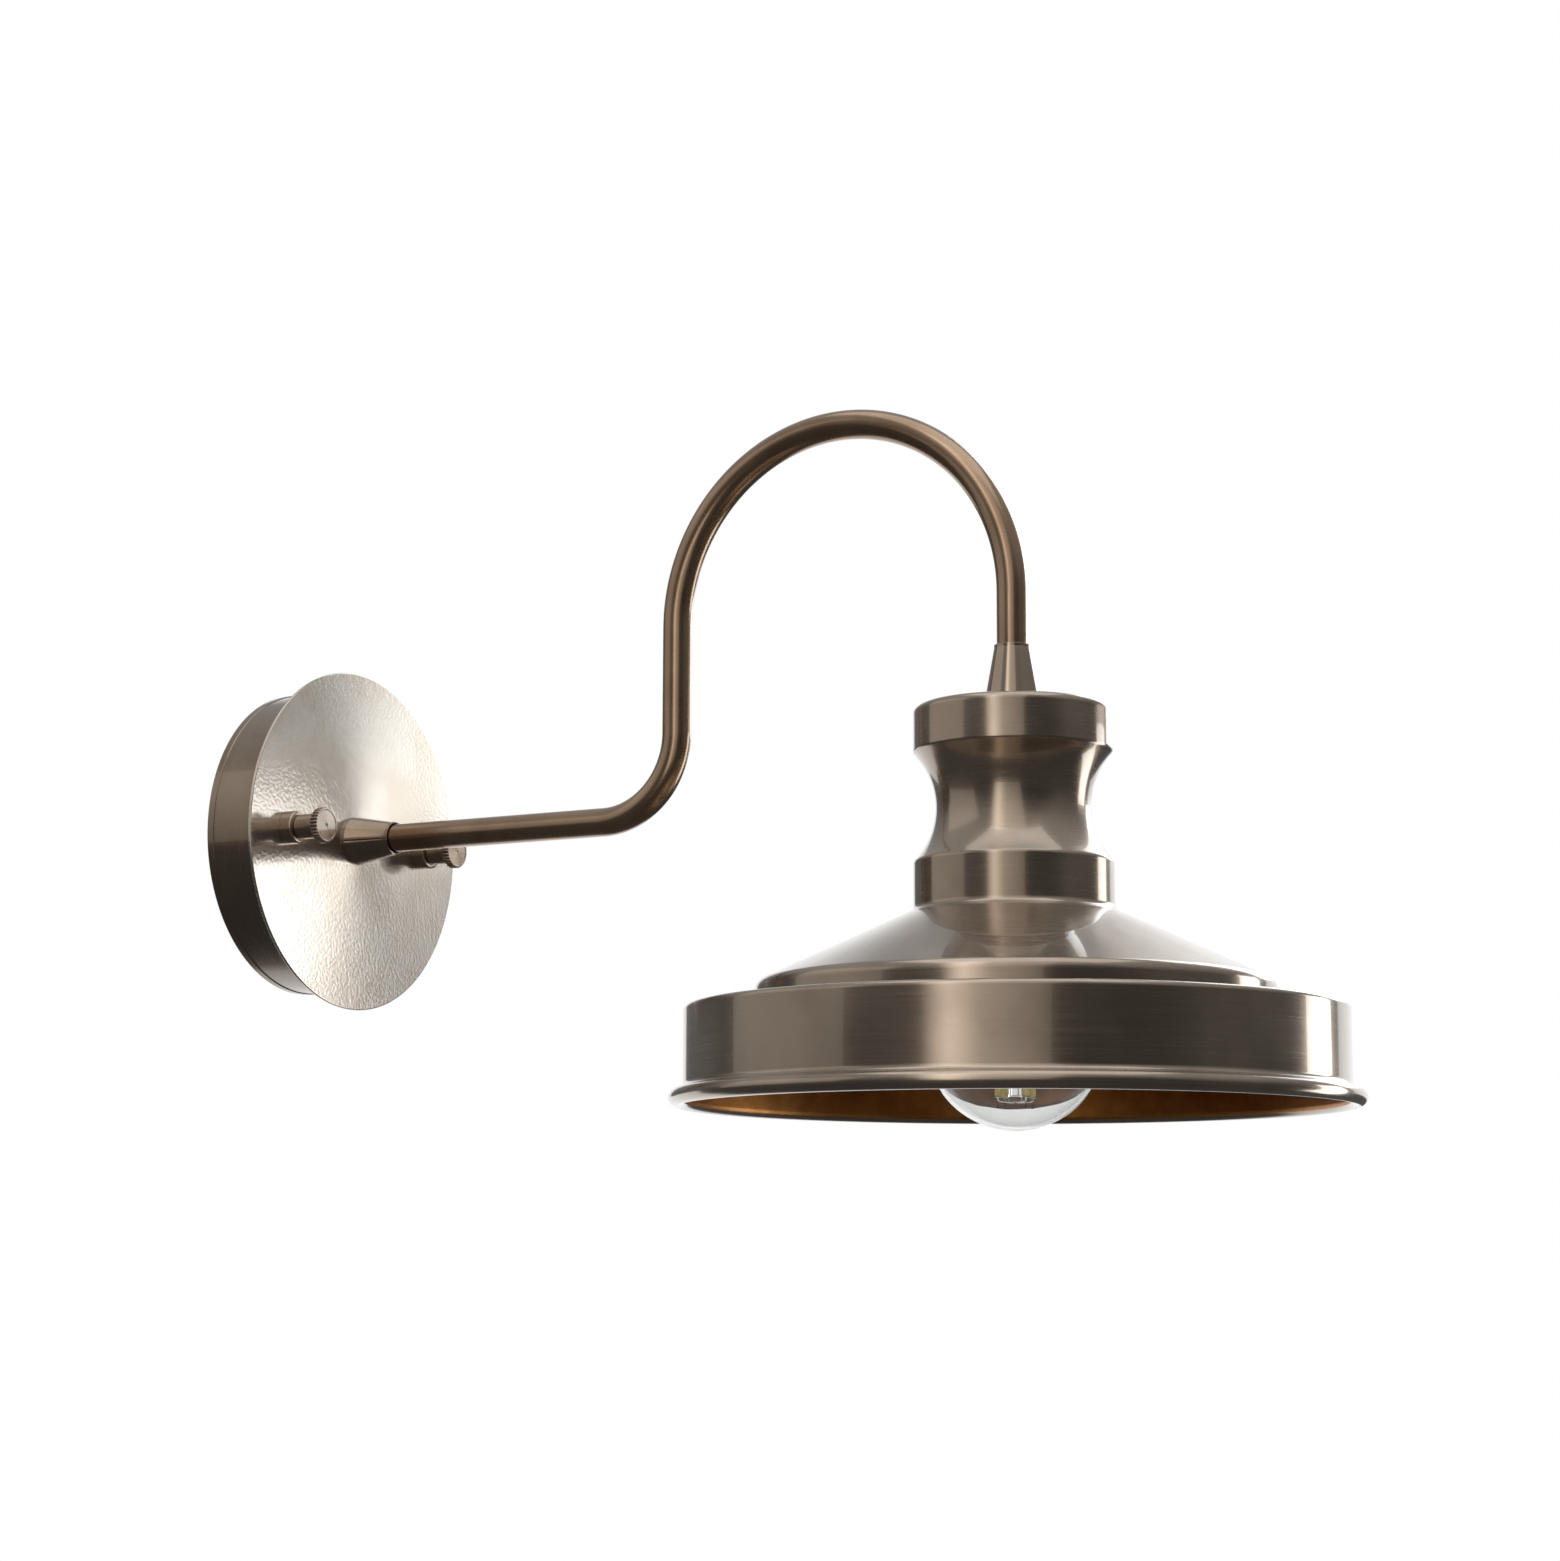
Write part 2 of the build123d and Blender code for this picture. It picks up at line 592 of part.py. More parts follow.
# ---- lampholder ------------------------------------------------------------------------------
def holder_cap():
    """The domed cap that hangs the lampholder on the arm's thread."""
    boss = HOLDER_BOSS_DIAMETER / 2
    thread = THREAD_RADIUS + RUNNING
    dome_top = SHADE_NUT_Z - HOLDER_BOSS_LENGTH
    dome_foot = dome_top - HOLDER_DOME_RISE
    section = outline(
        (thread, SHADE_NUT_Z), (boss, SHADE_NUT_Z), (boss, dome_top), (HOLDER_RADIUS, dome_foot),
        (HOLDER_RADIUS, HOLDER_CAP_FOOT), (HOLDER_BORE, HOLDER_CAP_FOOT),
        (HOLDER_BORE, dome_foot - HOLDER_WALL), (boss, dome_top - HOLDER_DOME_FLOOR),
        (thread, dome_top - HOLDER_DOME_FLOOR),
        rounds={2: HOLDER_BOSS_FILLET, 3: HOLDER_DOME_ROUND, 6: HOLDER_DOME_INNER_ROUND},
    )
    grub = Cylinder(GRUB_DIAMETER / 2 + RUNNING, HOLDER_BOSS_DIAMETER,
                    align=(Align.CENTER, Align.CENTER, Align.MIN))
    return at_shade(turned_up(section) - grub_place(0) * grub)


def grub_place(start):
    """Lay a part that stands on z = 0 along +X, half way down the boss."""
    return Pos(start, 0, SHADE_NUT_Z - HOLDER_BOSS_LENGTH / 2) * Rot(0, 90, 0)


def slotted(radius, length):
    """A plain screw that stands on z = 0, with a slot across its top."""
    slot = Pos(0, 0, length) * Box(2 * radius, SLOT_WIDTH, 2 * SLOT_DEPTH)
    return extrude(Circle(radius), amount=length) - slot


def holder_grub_screw():
    """The small screw through the boss that stops the lampholder turning on its thread."""
    start = THREAD_RADIUS + SEAT
    screw = slotted(GRUB_DIAMETER / 2, HOLDER_BOSS_DIAMETER / 2 - start)
    return at_shade(grub_place(start) * screw)


def holder_sleeve():
    """The lower sleeve: it screws into the cap, and its flange carries the ceramic."""
    top = HOLDER_CAP_FOOT + HOLDER_OVERLAP
    section = outline(
        (SHELL_OUTSIDE, SLEEVE_FOOT), (SLEEVE_RADIUS, SLEEVE_FOOT),
        (SLEEVE_RADIUS, HOLDER_CAP_FOOT - SLEEVE_THREAD_DEPTH), (HOLDER_BORE - RUNNING, HOLDER_CAP_FOOT),
        (HOLDER_BORE - RUNNING, top), (SLEEVE_BORE, top), (SLEEVE_BORE, CERAMIC_FOOT),
        (SHELL_OUTSIDE, CERAMIC_FOOT),
        rounds={1: SLEEVE_FOOT_ROUND},
    )
    return at_shade(turned_up(section))


def holder_ceramic():
    """The ceramic cup that carries the contacts and surrounds the threaded shell."""
    section = outline(
        (0, CERAMIC_BASE), (CERAMIC_BORE, CERAMIC_BASE), (CERAMIC_BORE, CERAMIC_FOOT),
        (CERAMIC_RADIUS, CERAMIC_FOOT), (CERAMIC_RADIUS, CERAMIC_TOP), (0, CERAMIC_TOP),
        rounds={4: CERAMIC_ROUND},
    )
    bore = Pos(0, 0, CERAMIC_BASE) * Cylinder(RIVET_DIAMETER / 2 + SEAT, 4 * CERAMIC_FLOOR)
    bores = [Pos(side * TERMINAL_OFFSET, 0, 0) * bore for side in (-1, 1)]
    return at_shade(turned_up(section) - bores)


def holder_shell():
    """The brass shell that takes the lamp's thread; a tab under its lip meets one rivet."""
    lip = SHELL_BORE - SHELL_LIP
    section = outline(
        (SHELL_BORE, SHELL_FOOT), (SHELL_OUTSIDE, SHELL_FOOT), (SHELL_OUTSIDE, CERAMIC_BASE),
        (lip, CERAMIC_BASE), (lip, CERAMIC_BASE - SHELL_WALL), (SHELL_BORE, CERAMIC_BASE - SHELL_WALL),
    )
    tab_start = TERMINAL_OFFSET - RIVET_DIAMETER / 2
    tab = Pos(tab_start, 0, CERAMIC_BASE) * Box(
        SHELL_BORE - tab_start, RIVET_DIAMETER, SHELL_WALL, align=(Align.MIN, Align.CENTER, Align.MAX))
    return at_shade(turned_up(section) + tab)


def holder_contact():
    """The sprung tongue that hangs from the other rivet and presses on the lamp's tip."""
    start = -TERMINAL_OFFSET - RIVET_DIAMETER / 2
    bend = -TERMINAL_OFFSET + RIVET_DIAMETER / 2
    flat = CONTACT_FLAT / 2
    low = LAMP_TIP + SEAT
    strip = make_face(Polyline(
        (start, CERAMIC_BASE), (start, CERAMIC_BASE - CONTACT_THICKNESS),
        (bend, CERAMIC_BASE - CONTACT_THICKNESS), (-flat, low), (flat, low),
        (flat, low + CONTACT_THICKNESS), (-flat, low + CONTACT_THICKNESS), (bend, CERAMIC_BASE),
        close=True))
    return at_shade(extrude(UPRIGHT * strip, amount=CONTACT_WIDTH / 2, both=True))


def terminal_place(side):
    """The foot of one of the two terminals, on the ceramic."""
    return Pos(side * TERMINAL_OFFSET, -REACH, CERAMIC_TOP)


def holder_terminals():
    """Two brass blocks on the ceramic, each riveted through it and bored for its wire."""
    block = Box(TERMINAL_SIZE, TERMINAL_SIZE, TERMINAL_HEIGHT, align=(Align.CENTER, Align.CENTER, Align.MIN))
    rivet = Cylinder(RIVET_DIAMETER / 2, CERAMIC_FLOOR, align=(Align.CENTER, Align.CENTER, Align.MAX))
    wire_bore = Pos(0, 0, TERMINAL_HEIGHT / 2) * Rot(0, 90, 0) * Cylinder(
        WIRE_DIAMETER / 2 + SEAT, 2 * TERMINAL_SIZE)
    screw_bore = Pos(0, 0, TERMINAL_HEIGHT / 2) * Cylinder(
        CLAMP_SCREW_DIAMETER / 2 + RUNNING, TERMINAL_HEIGHT, align=(Align.CENTER, Align.CENTER, Align.MIN))
    terminal = block + rivet - wire_bore - screw_bore
    return Compound(children=[terminal_place(side) * terminal for side in (-1, 1)])


def holder_terminal_screws():
    """The two screws that clamp the wires."""
    foot = (TERMINAL_HEIGHT + WIRE_DIAMETER) / 2 + SEAT
    screw = Pos(0, 0, foot) * slotted(
        CLAMP_SCREW_DIAMETER / 2, TERMINAL_HEIGHT + CLAMP_SCREW_STANDOUT - foot)
    return Compound(children=[terminal_place(side) * screw for side in (-1, 1)])


# ---- lamp --------------------------------------------------------------------------------------
def lamp_part(section):
    """Turn a lamp outline whose heights are measured from the lamp's foot."""
    return at_shade(Pos(0, 0, LAMP_BOTTOM) * turned_up(section))


def glass_outline(inset):
    """The lamp's globe and neck, filled in to the axis; inset makes the inside of the glass."""
    centre = LAMP_DIAMETER / 2
    blend_x = NECK_RADIUS + NECK_BLEND
    blend_rise = math.sqrt((centre + NECK_BLEND) ** 2 - blend_x ** 2)
    touch = math.atan2(blend_rise, blend_x)

    def on_ball(turn):
        ball = centre - inset
        return ball * math.cos(turn), centre + ball * math.sin(turn)

    def on_blend(turn):
        bend = NECK_BLEND + inset
        return blend_x - bend * math.cos(turn), centre + blend_rise - bend * math.sin(turn)

    foot = (0, inset)
    end = (NECK_END_RADIUS - inset, NECK_END)
    top = (0, NECK_END)
    return make_face(join(
        ThreePointArc(foot, on_ball(touch / 2 - math.pi / 4), on_ball(touch)),
        ThreePointArc(on_ball(touch), on_blend(touch / 2), on_blend(0)),
        Line(on_blend(0), (end[0], CAP_START)),
        Line((end[0], CAP_START), end),
        Line(end, top),
        Line(top, foot),
    ))


def lamp_glass():
    """The clear globe, open at its neck."""
    return lamp_part(glass_outline(0) - glass_outline(GLASS_WALL))


def lamp_cap():
    """The lamp's metal cap, with its rolled turns drawn as rings."""
    outer = [(CAP_SKIRT_RADIUS, CAP_START), (CAP_SKIRT_RADIUS, NECK_END)]
    for turn in range(THREAD_TURNS):
        low = NECK_END + turn * THREAD_PITCH
        outer += [(THREAD_ROOT, low + THREAD_FLANK_START * THREAD_PITCH)]
        outer += [(THREAD_CREST, low + THREAD_CREST_START * THREAD_PITCH)]
        outer += [(THREAD_CREST, low + THREAD_CREST_END * THREAD_PITCH)]
    outer += [(THREAD_ROOT, LAMP_CAP_TOP - CAP_SHOULDER_RISE), (CAP_SHOULDER_RADIUS, LAMP_CAP_TOP)]
    inner = [(radius - LAMP_CAP_WALL, height) for radius, height in outer]
    return lamp_part(outline(*outer, *reversed(inner)))


def lamp_insulator():
    """The dark glass button between the cap and the tip."""
    rim = CAP_SHOULDER_RADIUS - LAMP_CAP_WALL - SEAT
    top = LAMP_CAP_TOP + INSULATOR_RISE
    section = outline(
        (0, LAMP_CAP_TOP - INSULATOR_LIP), (rim, LAMP_CAP_TOP - INSULATOR_LIP), (rim, LAMP_CAP_TOP),
        (TIP_RADIUS + INSULATOR_LEDGE, top), (0, top),
    )
    return lamp_part(section)


def lamp_tip():
    """The solder button at the lamp's end."""
    base = LAMP_CAP_TOP + INSULATOR_RISE
    section = outline((0, base), (TIP_RADIUS, base), (TIP_RADIUS - TIP_TAPER, LAMP_LENGTH), (0, LAMP_LENGTH))
    return lamp_part(section)


def lamp_driver():
    """The round circuit board and its capacitor inside the lamp's cap."""
    board_top = DRIVER_START + DRIVER_THICKNESS
    board = THREAD_ROOT - LAMP_CAP_WALL - SEAT
    section = outline(
        (0, DRIVER_START), (board, DRIVER_START), (board, board_top), (CAPACITOR_RADIUS, board_top),
        (CAPACITOR_RADIUS, board_top + CAPACITOR_LENGTH), (0, board_top + CAPACITOR_LENGTH),
        rounds={4: CAPACITOR_ROUND},
    )
    return lamp_part(section)


def lamp_stem():
    """The glass stem: a flare that closes the neck and a rod down the middle of the globe."""
    rim = NECK_END_RADIUS - GLASS_WALL - SEAT
    section = outline(
        (0, GLASS_STEM_END), (GLASS_STEM_RADIUS, GLASS_STEM_END), (GLASS_STEM_RADIUS, STEM_FLARE_START),
        (rim, NECK_END - STEM_RIM), (rim, NECK_END), (0, NECK_END),
        rounds={1: GLASS_STEM_ROUND, 2: STEM_FLARE_ROUND},
    )
    return lamp_part(section)


def filament_point(index, spread, height):
    """A point beside the stem, in the direction of one glowing stick."""
    turn = math.radians(FILAMENT_TURN) + 2 * math.pi * index / FILAMENT_COUNT
    return Vector(spread * math.cos(turn), spread * math.sin(turn), height)


def lamp_group(parts):
    """Gather parts that were made round the lamp's axis, heights measured from its foot."""
    return Compound(children=[at_shade(Pos(0, 0, LAMP_BOTTOM) * part) for part in parts])


def lamp_filaments():
    """The yellow light-emitting sticks that stand round the stem."""
    sticks = []
    for index in range(FILAMENT_COUNT):
        foot = filament_point(index, FILAMENT_FOOT_SPREAD, FILAMENT_FOOT)
        top = filament_point(index, FILAMENT_TOP_SPREAD, FILAMENT_TOP)
        sticks.append(swept(Line(foot, top), FILAMENT_RADIUS))
    return lamp_group(sticks)


def lamp_supports():
    """Fine wires that carry both ends of each stick from the stem."""
    wires = []
    beside = GLASS_STEM_RADIUS + SEAT
    for index in range(FILAMENT_COUNT):
        low = FILAMENT_FOOT - SUPPORT_DROP / 2
        wires.append(FilletPolyline(
            filament_point(index, FILAMENT_FOOT_SPREAD, FILAMENT_FOOT),
            filament_point(index, FILAMENT_FOOT_SPREAD, low - SEAT),
            filament_point(index, beside, low), radius=SUPPORT_BEND))
        high = FILAMENT_TOP + SUPPORT_DROP / 2
        wires.append(FilletPolyline(
            filament_point(index, FILAMENT_TOP_SPREAD, FILAMENT_TOP),
            filament_point(index, FILAMENT_TOP_SPREAD, high),
            filament_point(index, beside, high + SUPPORT_DROP / 2), radius=SUPPORT_BEND))
    return lamp_group([swept(wire, SUPPORT_RADIUS) for wire in wires])


# ---- wiring --------------------------------------------------------------------------------------
def pole_place(pole, depth, height):
    """A point on one of the connector's three poles; pole is -1, 0 or 1."""
    return Pos(pole * POLE_PITCH, -depth, height)


def screw_places():
    """Where the six clamping screws stand in the connector's front face, pointing outward."""
    face = BLOCK_STANDOFF + BLOCK_DEPTH
    heights = [BLOCK_CENTRE + end * BLOCK_HEIGHT / 4 for end in (-1, 1)]
    return [pole_place(pole, face, height) * Rot(90, 0, 0) for pole in (-1, 0, 1) for height in heights]


def terminal_block():
    """The three-pole connector inside the wall plate, above the arm's end."""
    block = pole_place(0, POLE_DEPTH, BLOCK_CENTRE) * Box(BLOCK_WIDTH, BLOCK_DEPTH, BLOCK_HEIGHT)
    bore = Cylinder(POLE_BORE / 2, 2 * BLOCK_HEIGHT)
    bores = [pole_place(pole, POLE_DEPTH, BLOCK_CENTRE) * bore for pole in (-1, 0, 1)]
    well = Cylinder(POLE_SCREW_DIAMETER / 2 + SEAT, 2 * POLE_WELL_DEPTH)
    return block - bores - [place * well for place in screw_places()]


def terminal_screws():
    """The six clamping screws of the connector."""
    screw = Pos(0, 0, -POLE_WELL_DEPTH) * slotted(POLE_SCREW_DIAMETER / 2, POLE_SCREW_LENGTH)
    return Compound(children=[place * screw for place in screw_places()])


def lamp_wire(side):
    """One insulated core from the connector, through the arm, to its terminal at the lamp."""
    x = side * WIRE_OFFSET
    pole = (side - 1) / 2 * POLE_PITCH
    spine = arm_spine(x)
    entry = FilletPolyline(
        (pole, -POLE_DEPTH, BLOCK_RISE + WIRE_INSERTION), (pole, -POLE_DEPTH, BLOCK_RISE - WIRE_DROP),
        (x, -POLE_DEPTH, 0), spine[0] @ 0, radius=WIRE_BEND)
    outlet = FilletPolyline(
        spine[-1] @ 1, (x, -REACH, TERMINAL_CENTRE),
        (side * TERMINAL_OFFSET, -REACH, TERMINAL_CENTRE), radius=WIRE_BEND)
    return swept(join(entry, *spine, outlet), WIRE_DIAMETER / 2)


def barrel_place():
    """The middle of the earth tag's barrel: its height over the bracket and its start."""
    depth = BRACKET_FACE + BARREL_RADIUS
    inner_end = EARTH_SCREW_OFFSET - STUD_HEAD_DIAMETER / 2 - HOLE_CLEARANCE
    return inner_end, -depth, -EARTH_SCREW_DROP


def earth_wire():
    """The earth core from the connector's third pole to its ring on the bracket."""
    end, depth, height = barrel_place()
    start = end - BARREL_LENGTH
    path = FilletPolyline(
        (POLE_PITCH, -POLE_DEPTH, BLOCK_RISE + WIRE_INSERTION),
        (POLE_PITCH, -POLE_DEPTH, BLOCK_RISE - WIRE_DROP),
        (start - 2 * WIRE_BEND, depth, height), (end - BARREL_LENGTH / 2, depth, height),
        radius=WIRE_BEND)
    return swept(path, WIRE_DIAMETER / 2)


def earth_screw():
    """The screw in the bracket that holds the earth core's ring."""
    foot = BRACKET_FACE + EARTH_TAG_THICKNESS
    shank = turned_out(peg(STUD_DIAMETER / 2, BRACKET_JOGGLE - EARTH_TAG_THICKNESS, foot))
    head = Pos(0, -foot, 0) * Rot(90, 0, 0) * slotted(STUD_HEAD_DIAMETER / 2, STUD_HEAD_HEIGHT)
    return earth_place(shank + head)


def earth_tag():
    """The ring on the end of the earth core: a tongue joins it to the barrel round the wire."""
    end, depth, height = barrel_place()
    top = BRACKET_FACE + EARTH_TAG_THICKNESS
    blank = earth_place(turned_out(peg(EARTH_TAG_DIAMETER / 2, BRACKET_FACE, top)))
    tongue = Pos(end - BARREL_RADIUS, -BRACKET_FACE, height) * Box(
        EARTH_SCREW_OFFSET - end, EARTH_TAG_THICKNESS, 2 * BARREL_RADIUS,
        align=(Align.MIN, Align.MAX, Align.CENTER))
    lying = Pos(end, depth, height) * Rot(0, -90, 0)
    barrel = lying * extrude(Circle(BARREL_RADIUS), amount=BARREL_LENGTH)
    bore = lying * extrude(Circle(WIRE_DIAMETER / 2 + RUNNING), amount=2 * BARREL_LENGTH, both=True)
    hole = earth_place(turned_out(peg(STUD_DIAMETER / 2 + SEAT, 0, DISC_FACE)))
    return blank + tongue + barrel - bore - hole


NODES = {
    "canopy_cup": canopy_cup,
    "canopy_disc": canopy_disc,
    "wall_bracket": wall_bracket,
    "bracket_studs": bracket_studs,
    "stud_nuts": stud_nuts,
    "left_nut_bush": lambda: at_stud(nut_bush(), -1),
    "right_nut_bush": lambda: at_stud(nut_bush(), 1),
    "left_thumb_nut": lambda: at_stud(thumb_nut(), -1),
    "right_thumb_nut": lambda: at_stud(thumb_nut(), 1),
    "arm_washer": arm_washer,
    "arm_nut": arm_nut,
    "wall_cone": wall_cone,
    "gooseneck_tube": gooseneck_tube,
    "shade_cone": shade_cone,
    "shade": shade,
    "shade_washer": shade_washer,
    "shade_nut": shade_nut,
    "holder_cap": holder_cap,
    "holder_grub_screw": holder_grub_screw,
    "holder_sleeve": holder_sleeve,
    "holder_ceramic": holder_ceramic,
    "holder_shell": holder_shell,
    "holder_contact": holder_contact,
    "holder_terminals": holder_terminals,
    "holder_terminal_screws": holder_terminal_screws,
    "lamp_glass": lamp_glass,
    "lamp_cap": lamp_cap,
    "lamp_insulator": lamp_insulator,
    "lamp_tip": lamp_tip,
    "lamp_driver": lamp_driver,
    "lamp_stem": lamp_stem,
    "lamp_filaments": lamp_filaments,
    "lamp_supports": lamp_supports,
    "terminal_block": terminal_block,
    "terminal_screws": terminal_screws,
    "live_wire": lambda: lamp_wire(-1),
    "neutral_wire": lambda: lamp_wire(1),
    "earth_wire": earth_wire,
    "earth_tag": earth_tag,
    "earth_screw": earth_screw,
}

os.makedirs("parts", exist_ok=True)
for name, make in NODES.items():
    export_step(make(), f"parts/{name}.step")
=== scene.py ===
# %% [markdown]
# # A gooseneck wall sconce, piece by piece
#
# The lamp is a wall light: a round plate held by two thumb nuts, a bent tube that rises and turns
# over, and a spun metal shade with a clear lamp in it. Its construction is already drawn to size.
# The drawing is loaded here as a fixed frame, and each cell dresses one part of it.

# %% The frame, the units and the tools
from math import atan2, ceil, cos, pi, radians, sin, sqrt, tan

import bpy
import bmesh
from mathutils import Matrix, Vector


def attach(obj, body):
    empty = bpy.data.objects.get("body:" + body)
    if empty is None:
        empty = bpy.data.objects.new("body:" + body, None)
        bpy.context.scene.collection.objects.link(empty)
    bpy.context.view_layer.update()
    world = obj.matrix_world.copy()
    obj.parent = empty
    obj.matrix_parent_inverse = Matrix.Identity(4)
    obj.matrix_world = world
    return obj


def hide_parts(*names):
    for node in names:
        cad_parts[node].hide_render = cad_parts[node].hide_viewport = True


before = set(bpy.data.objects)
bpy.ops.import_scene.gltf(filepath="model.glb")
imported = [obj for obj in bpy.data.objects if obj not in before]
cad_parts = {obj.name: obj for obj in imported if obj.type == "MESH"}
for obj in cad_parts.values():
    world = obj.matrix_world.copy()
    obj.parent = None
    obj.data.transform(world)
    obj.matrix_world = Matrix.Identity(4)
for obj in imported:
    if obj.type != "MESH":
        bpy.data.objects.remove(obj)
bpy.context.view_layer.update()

# %% [markdown]
# ## Sizes
#
# Blender works in metres and lamp makers in millimetres, so `mm` turns one into the other. The
# wall is the plane y = 0, the arm leaves it along -Y, and +Z is up. The shade hangs around an
# upright axis that is REACH away from the wall.

# %% Units and the two axes that pieces are turned about
MM = 0.001


def mm(*sizes):
    """Sizes in millimetres, turned into metres."""
    return [size * MM for size in sizes]


REACH = 295.0 * MM
ON_WALL_AXIS = Vector((0, 0, 0))
ON_SHADE_AXIS = Vector((0, -REACH, 0))
print("the shade's axis stands", REACH, "m from the wall")

# %% [markdown]
# ## The camera
#
# A camera is a place, a direction and a lens. This one stands left of the lamp and a little below
# it, and looks up by nearly nine degrees. Its three unit vectors (right, up and backwards) go
# straight into its matrix, so the slight roll of a hand-held camera is one number.

# %% Place and aim the camera
def put_in_scene(name, data):
    """An object for a camera, a lamp or a mesh."""
    thing = bpy.data.objects.new(name, data)
    bpy.context.scene.collection.objects.link(thing)
    return thing


CAMERA_PLACE = Vector((-981.8, -755.7, -161.6)) * MM
CAMERA_HEADING = radians(60.753)
CAMERA_PITCH = radians(8.668)
CAMERA_ROLL = radians(0.188)
CAMERA_LENS = 75.69
FILM_SIZE = 36.0
FAR_CLIP = 100.0

level_forward = Vector((sin(CAMERA_HEADING), cos(CAMERA_HEADING), 0))
level_right = Vector((level_forward.y, -level_forward.x, 0))
forward = level_forward * cos(CAMERA_PITCH) + Vector((0, 0, sin(CAMERA_PITCH)))
level_up = level_right.cross(forward)
view_right = level_right * cos(CAMERA_ROLL) + level_up * sin(CAMERA_ROLL)
view_up = level_up * cos(CAMERA_ROLL) - level_right * sin(CAMERA_ROLL)

camera_data = bpy.data.cameras.new("camera")
camera_data.lens = CAMERA_LENS
camera_data.sensor_width = FILM_SIZE
camera_data.clip_end = FAR_CLIP
camera = put_in_scene("camera", camera_data)
camera.matrix_world = Matrix.Translation(CAMERA_PLACE) @ Matrix(
    (view_right, view_up, -forward)).transposed().to_4x4()
bpy.context.scene.camera = camera
bpy.context.scene.view_settings.view_transform = "Standard"
print("camera looks along", [round(part, 3) for part in forward])

# %% [markdown]
# ## Node trees, the short way
#
# A finish is a small network of nodes. Adding each node, setting its options and joining its
# sockets by hand takes many lines, so one helper does all three.

# %% A helper that adds one node and joins it up
def set_inputs(tree, node, inputs):
    """Link the inputs that get a socket and set those that get a plain value."""
    for socket, value in inputs.items():
        if isinstance(value, bpy.types.NodeSocket):
            tree.links.new(value, node.inputs[socket])
        else:
            node.inputs[socket].default_value = value


def add_node(tree, kind, inputs=None, **options):
    node = tree.nodes.new("ShaderNode" + kind)
    for option, value in options.items():
        setattr(node, option, value)
    set_inputs(tree, node, inputs or {})
    return node


def sum_up(tree, operation, *values, clamp=False):
    """One sum of one, two or three numbers or sockets."""
    node = add_node(tree, "Math", dict(enumerate(values)), operation=operation)
    node.use_clamp = clamp
    return node.outputs[0]


def ease(tree, value, start, end, low=0.0, high=1.0):
    """Turn a number into a soft step between two levels."""
    node = add_node(tree, "MapRange", {
        "Value": value, "From Min": start, "From Max": end, "To Min": low, "To Max": high,
    }, interpolation_type="SMOOTHSTEP")
    return node.outputs["Result"]


def vector_sum(tree, operation, *values):
    """One sum of one or two vectors."""
    return add_node(tree, "VectorMath", dict(enumerate(values)), operation=operation)


def along(tree, vector, direction):
    """How far a vector socket points along a fixed direction."""
    return vector_sum(tree, "DOT_PRODUCT", vector, direction).outputs["Value"]


# %% [markdown]
# ## The studio
#
# Metal has no look of its own: it shows the room. In an even white world a spun shade would look
# like white plastic, so the room is built as a photographer builds it: white paper behind the
# lamp, dim walls, a lighter ceiling, and a dark card just right of the camera.
#
# Each kind of light ray gets its own answer. The camera sees plain white behind the lamp. Light
# that metal mirrors or glass bends finds the room. Diffuse light finds an even pale world.

# %% The room as light rays meet it
PAPER_TURN = radians(-12)
PAPER_SPREAD = tan(radians(32))
PAPER_FLARE = 2.0
PAPER_LEAN = -0.25
SIDE_SOFTNESS = 0.05
FRONT_SOFTNESS = 0.06
PAPER_TOP = (0.30, 0.70)
PAPER_TOP_LEVEL = 0.25
ROOM_LEVEL = 0.09
CEILING_LEVEL = 0.50
CEILING_RISE = (-0.1, 0.9)
CARD_TURN = radians(28)
CARD_EDGE = (0.80, 0.98)
CARD_SHADE = 0.45
DIFFUSE_LEVEL = 0.72
paper_heading = level_forward * cos(PAPER_TURN) - level_right * sin(PAPER_TURN)
paper_side = paper_heading.cross(Vector((0, 0, 1)))
card_heading = level_right * sin(CARD_TURN) - level_forward * cos(CARD_TURN)


def light_path(tree):
    """Three sockets: seen by the camera, through glass, and in metal or through glass."""
    path = add_node(tree, "LightPath")
    through = path.outputs["Is Transmission Ray"]
    mirrored = sum_up(tree, "MAXIMUM", path.outputs["Is Glossy Ray"], through)
    return path.outputs["Is Camera Ray"], through, mirrored


world = bpy.data.worlds.new("studio")
bpy.context.scene.world = world
world.use_nodes = True
room = world.node_tree
room.nodes.clear()
looking = add_node(room, "TexCoord").outputs["Generated"]
away = along(room, looking, paper_heading)
aside = sum_up(room, "ABSOLUTE", along(room, looking, paper_side))
height = along(room, looking, (0, 0, 1))
below = sum_up(room, "MAXIMUM", sum_up(room, "MULTIPLY", height, -1.0), 0.0)
paper_width = sum_up(room, "MULTIPLY_ADD", away, PAPER_SPREAD,
                     sum_up(room, "MULTIPLY", below, PAPER_FLARE))
in_width = ease(room, sum_up(room, "SUBTRACT", paper_width, aside), 0.0, SIDE_SOFTNESS)
past_front = sum_up(room, "MULTIPLY_ADD", below, PAPER_LEAN, away)
beyond_edge = ease(room, past_front, 0.0, FRONT_SOFTNESS)
under_top = ease(room, height, *PAPER_TOP, 1.0, PAPER_TOP_LEVEL)
paper = sum_up(room, "MULTIPLY", sum_up(room, "MULTIPLY", in_width, beyond_edge), under_top)
walls = ease(room, height, *CEILING_RISE, ROOM_LEVEL, CEILING_LEVEL)
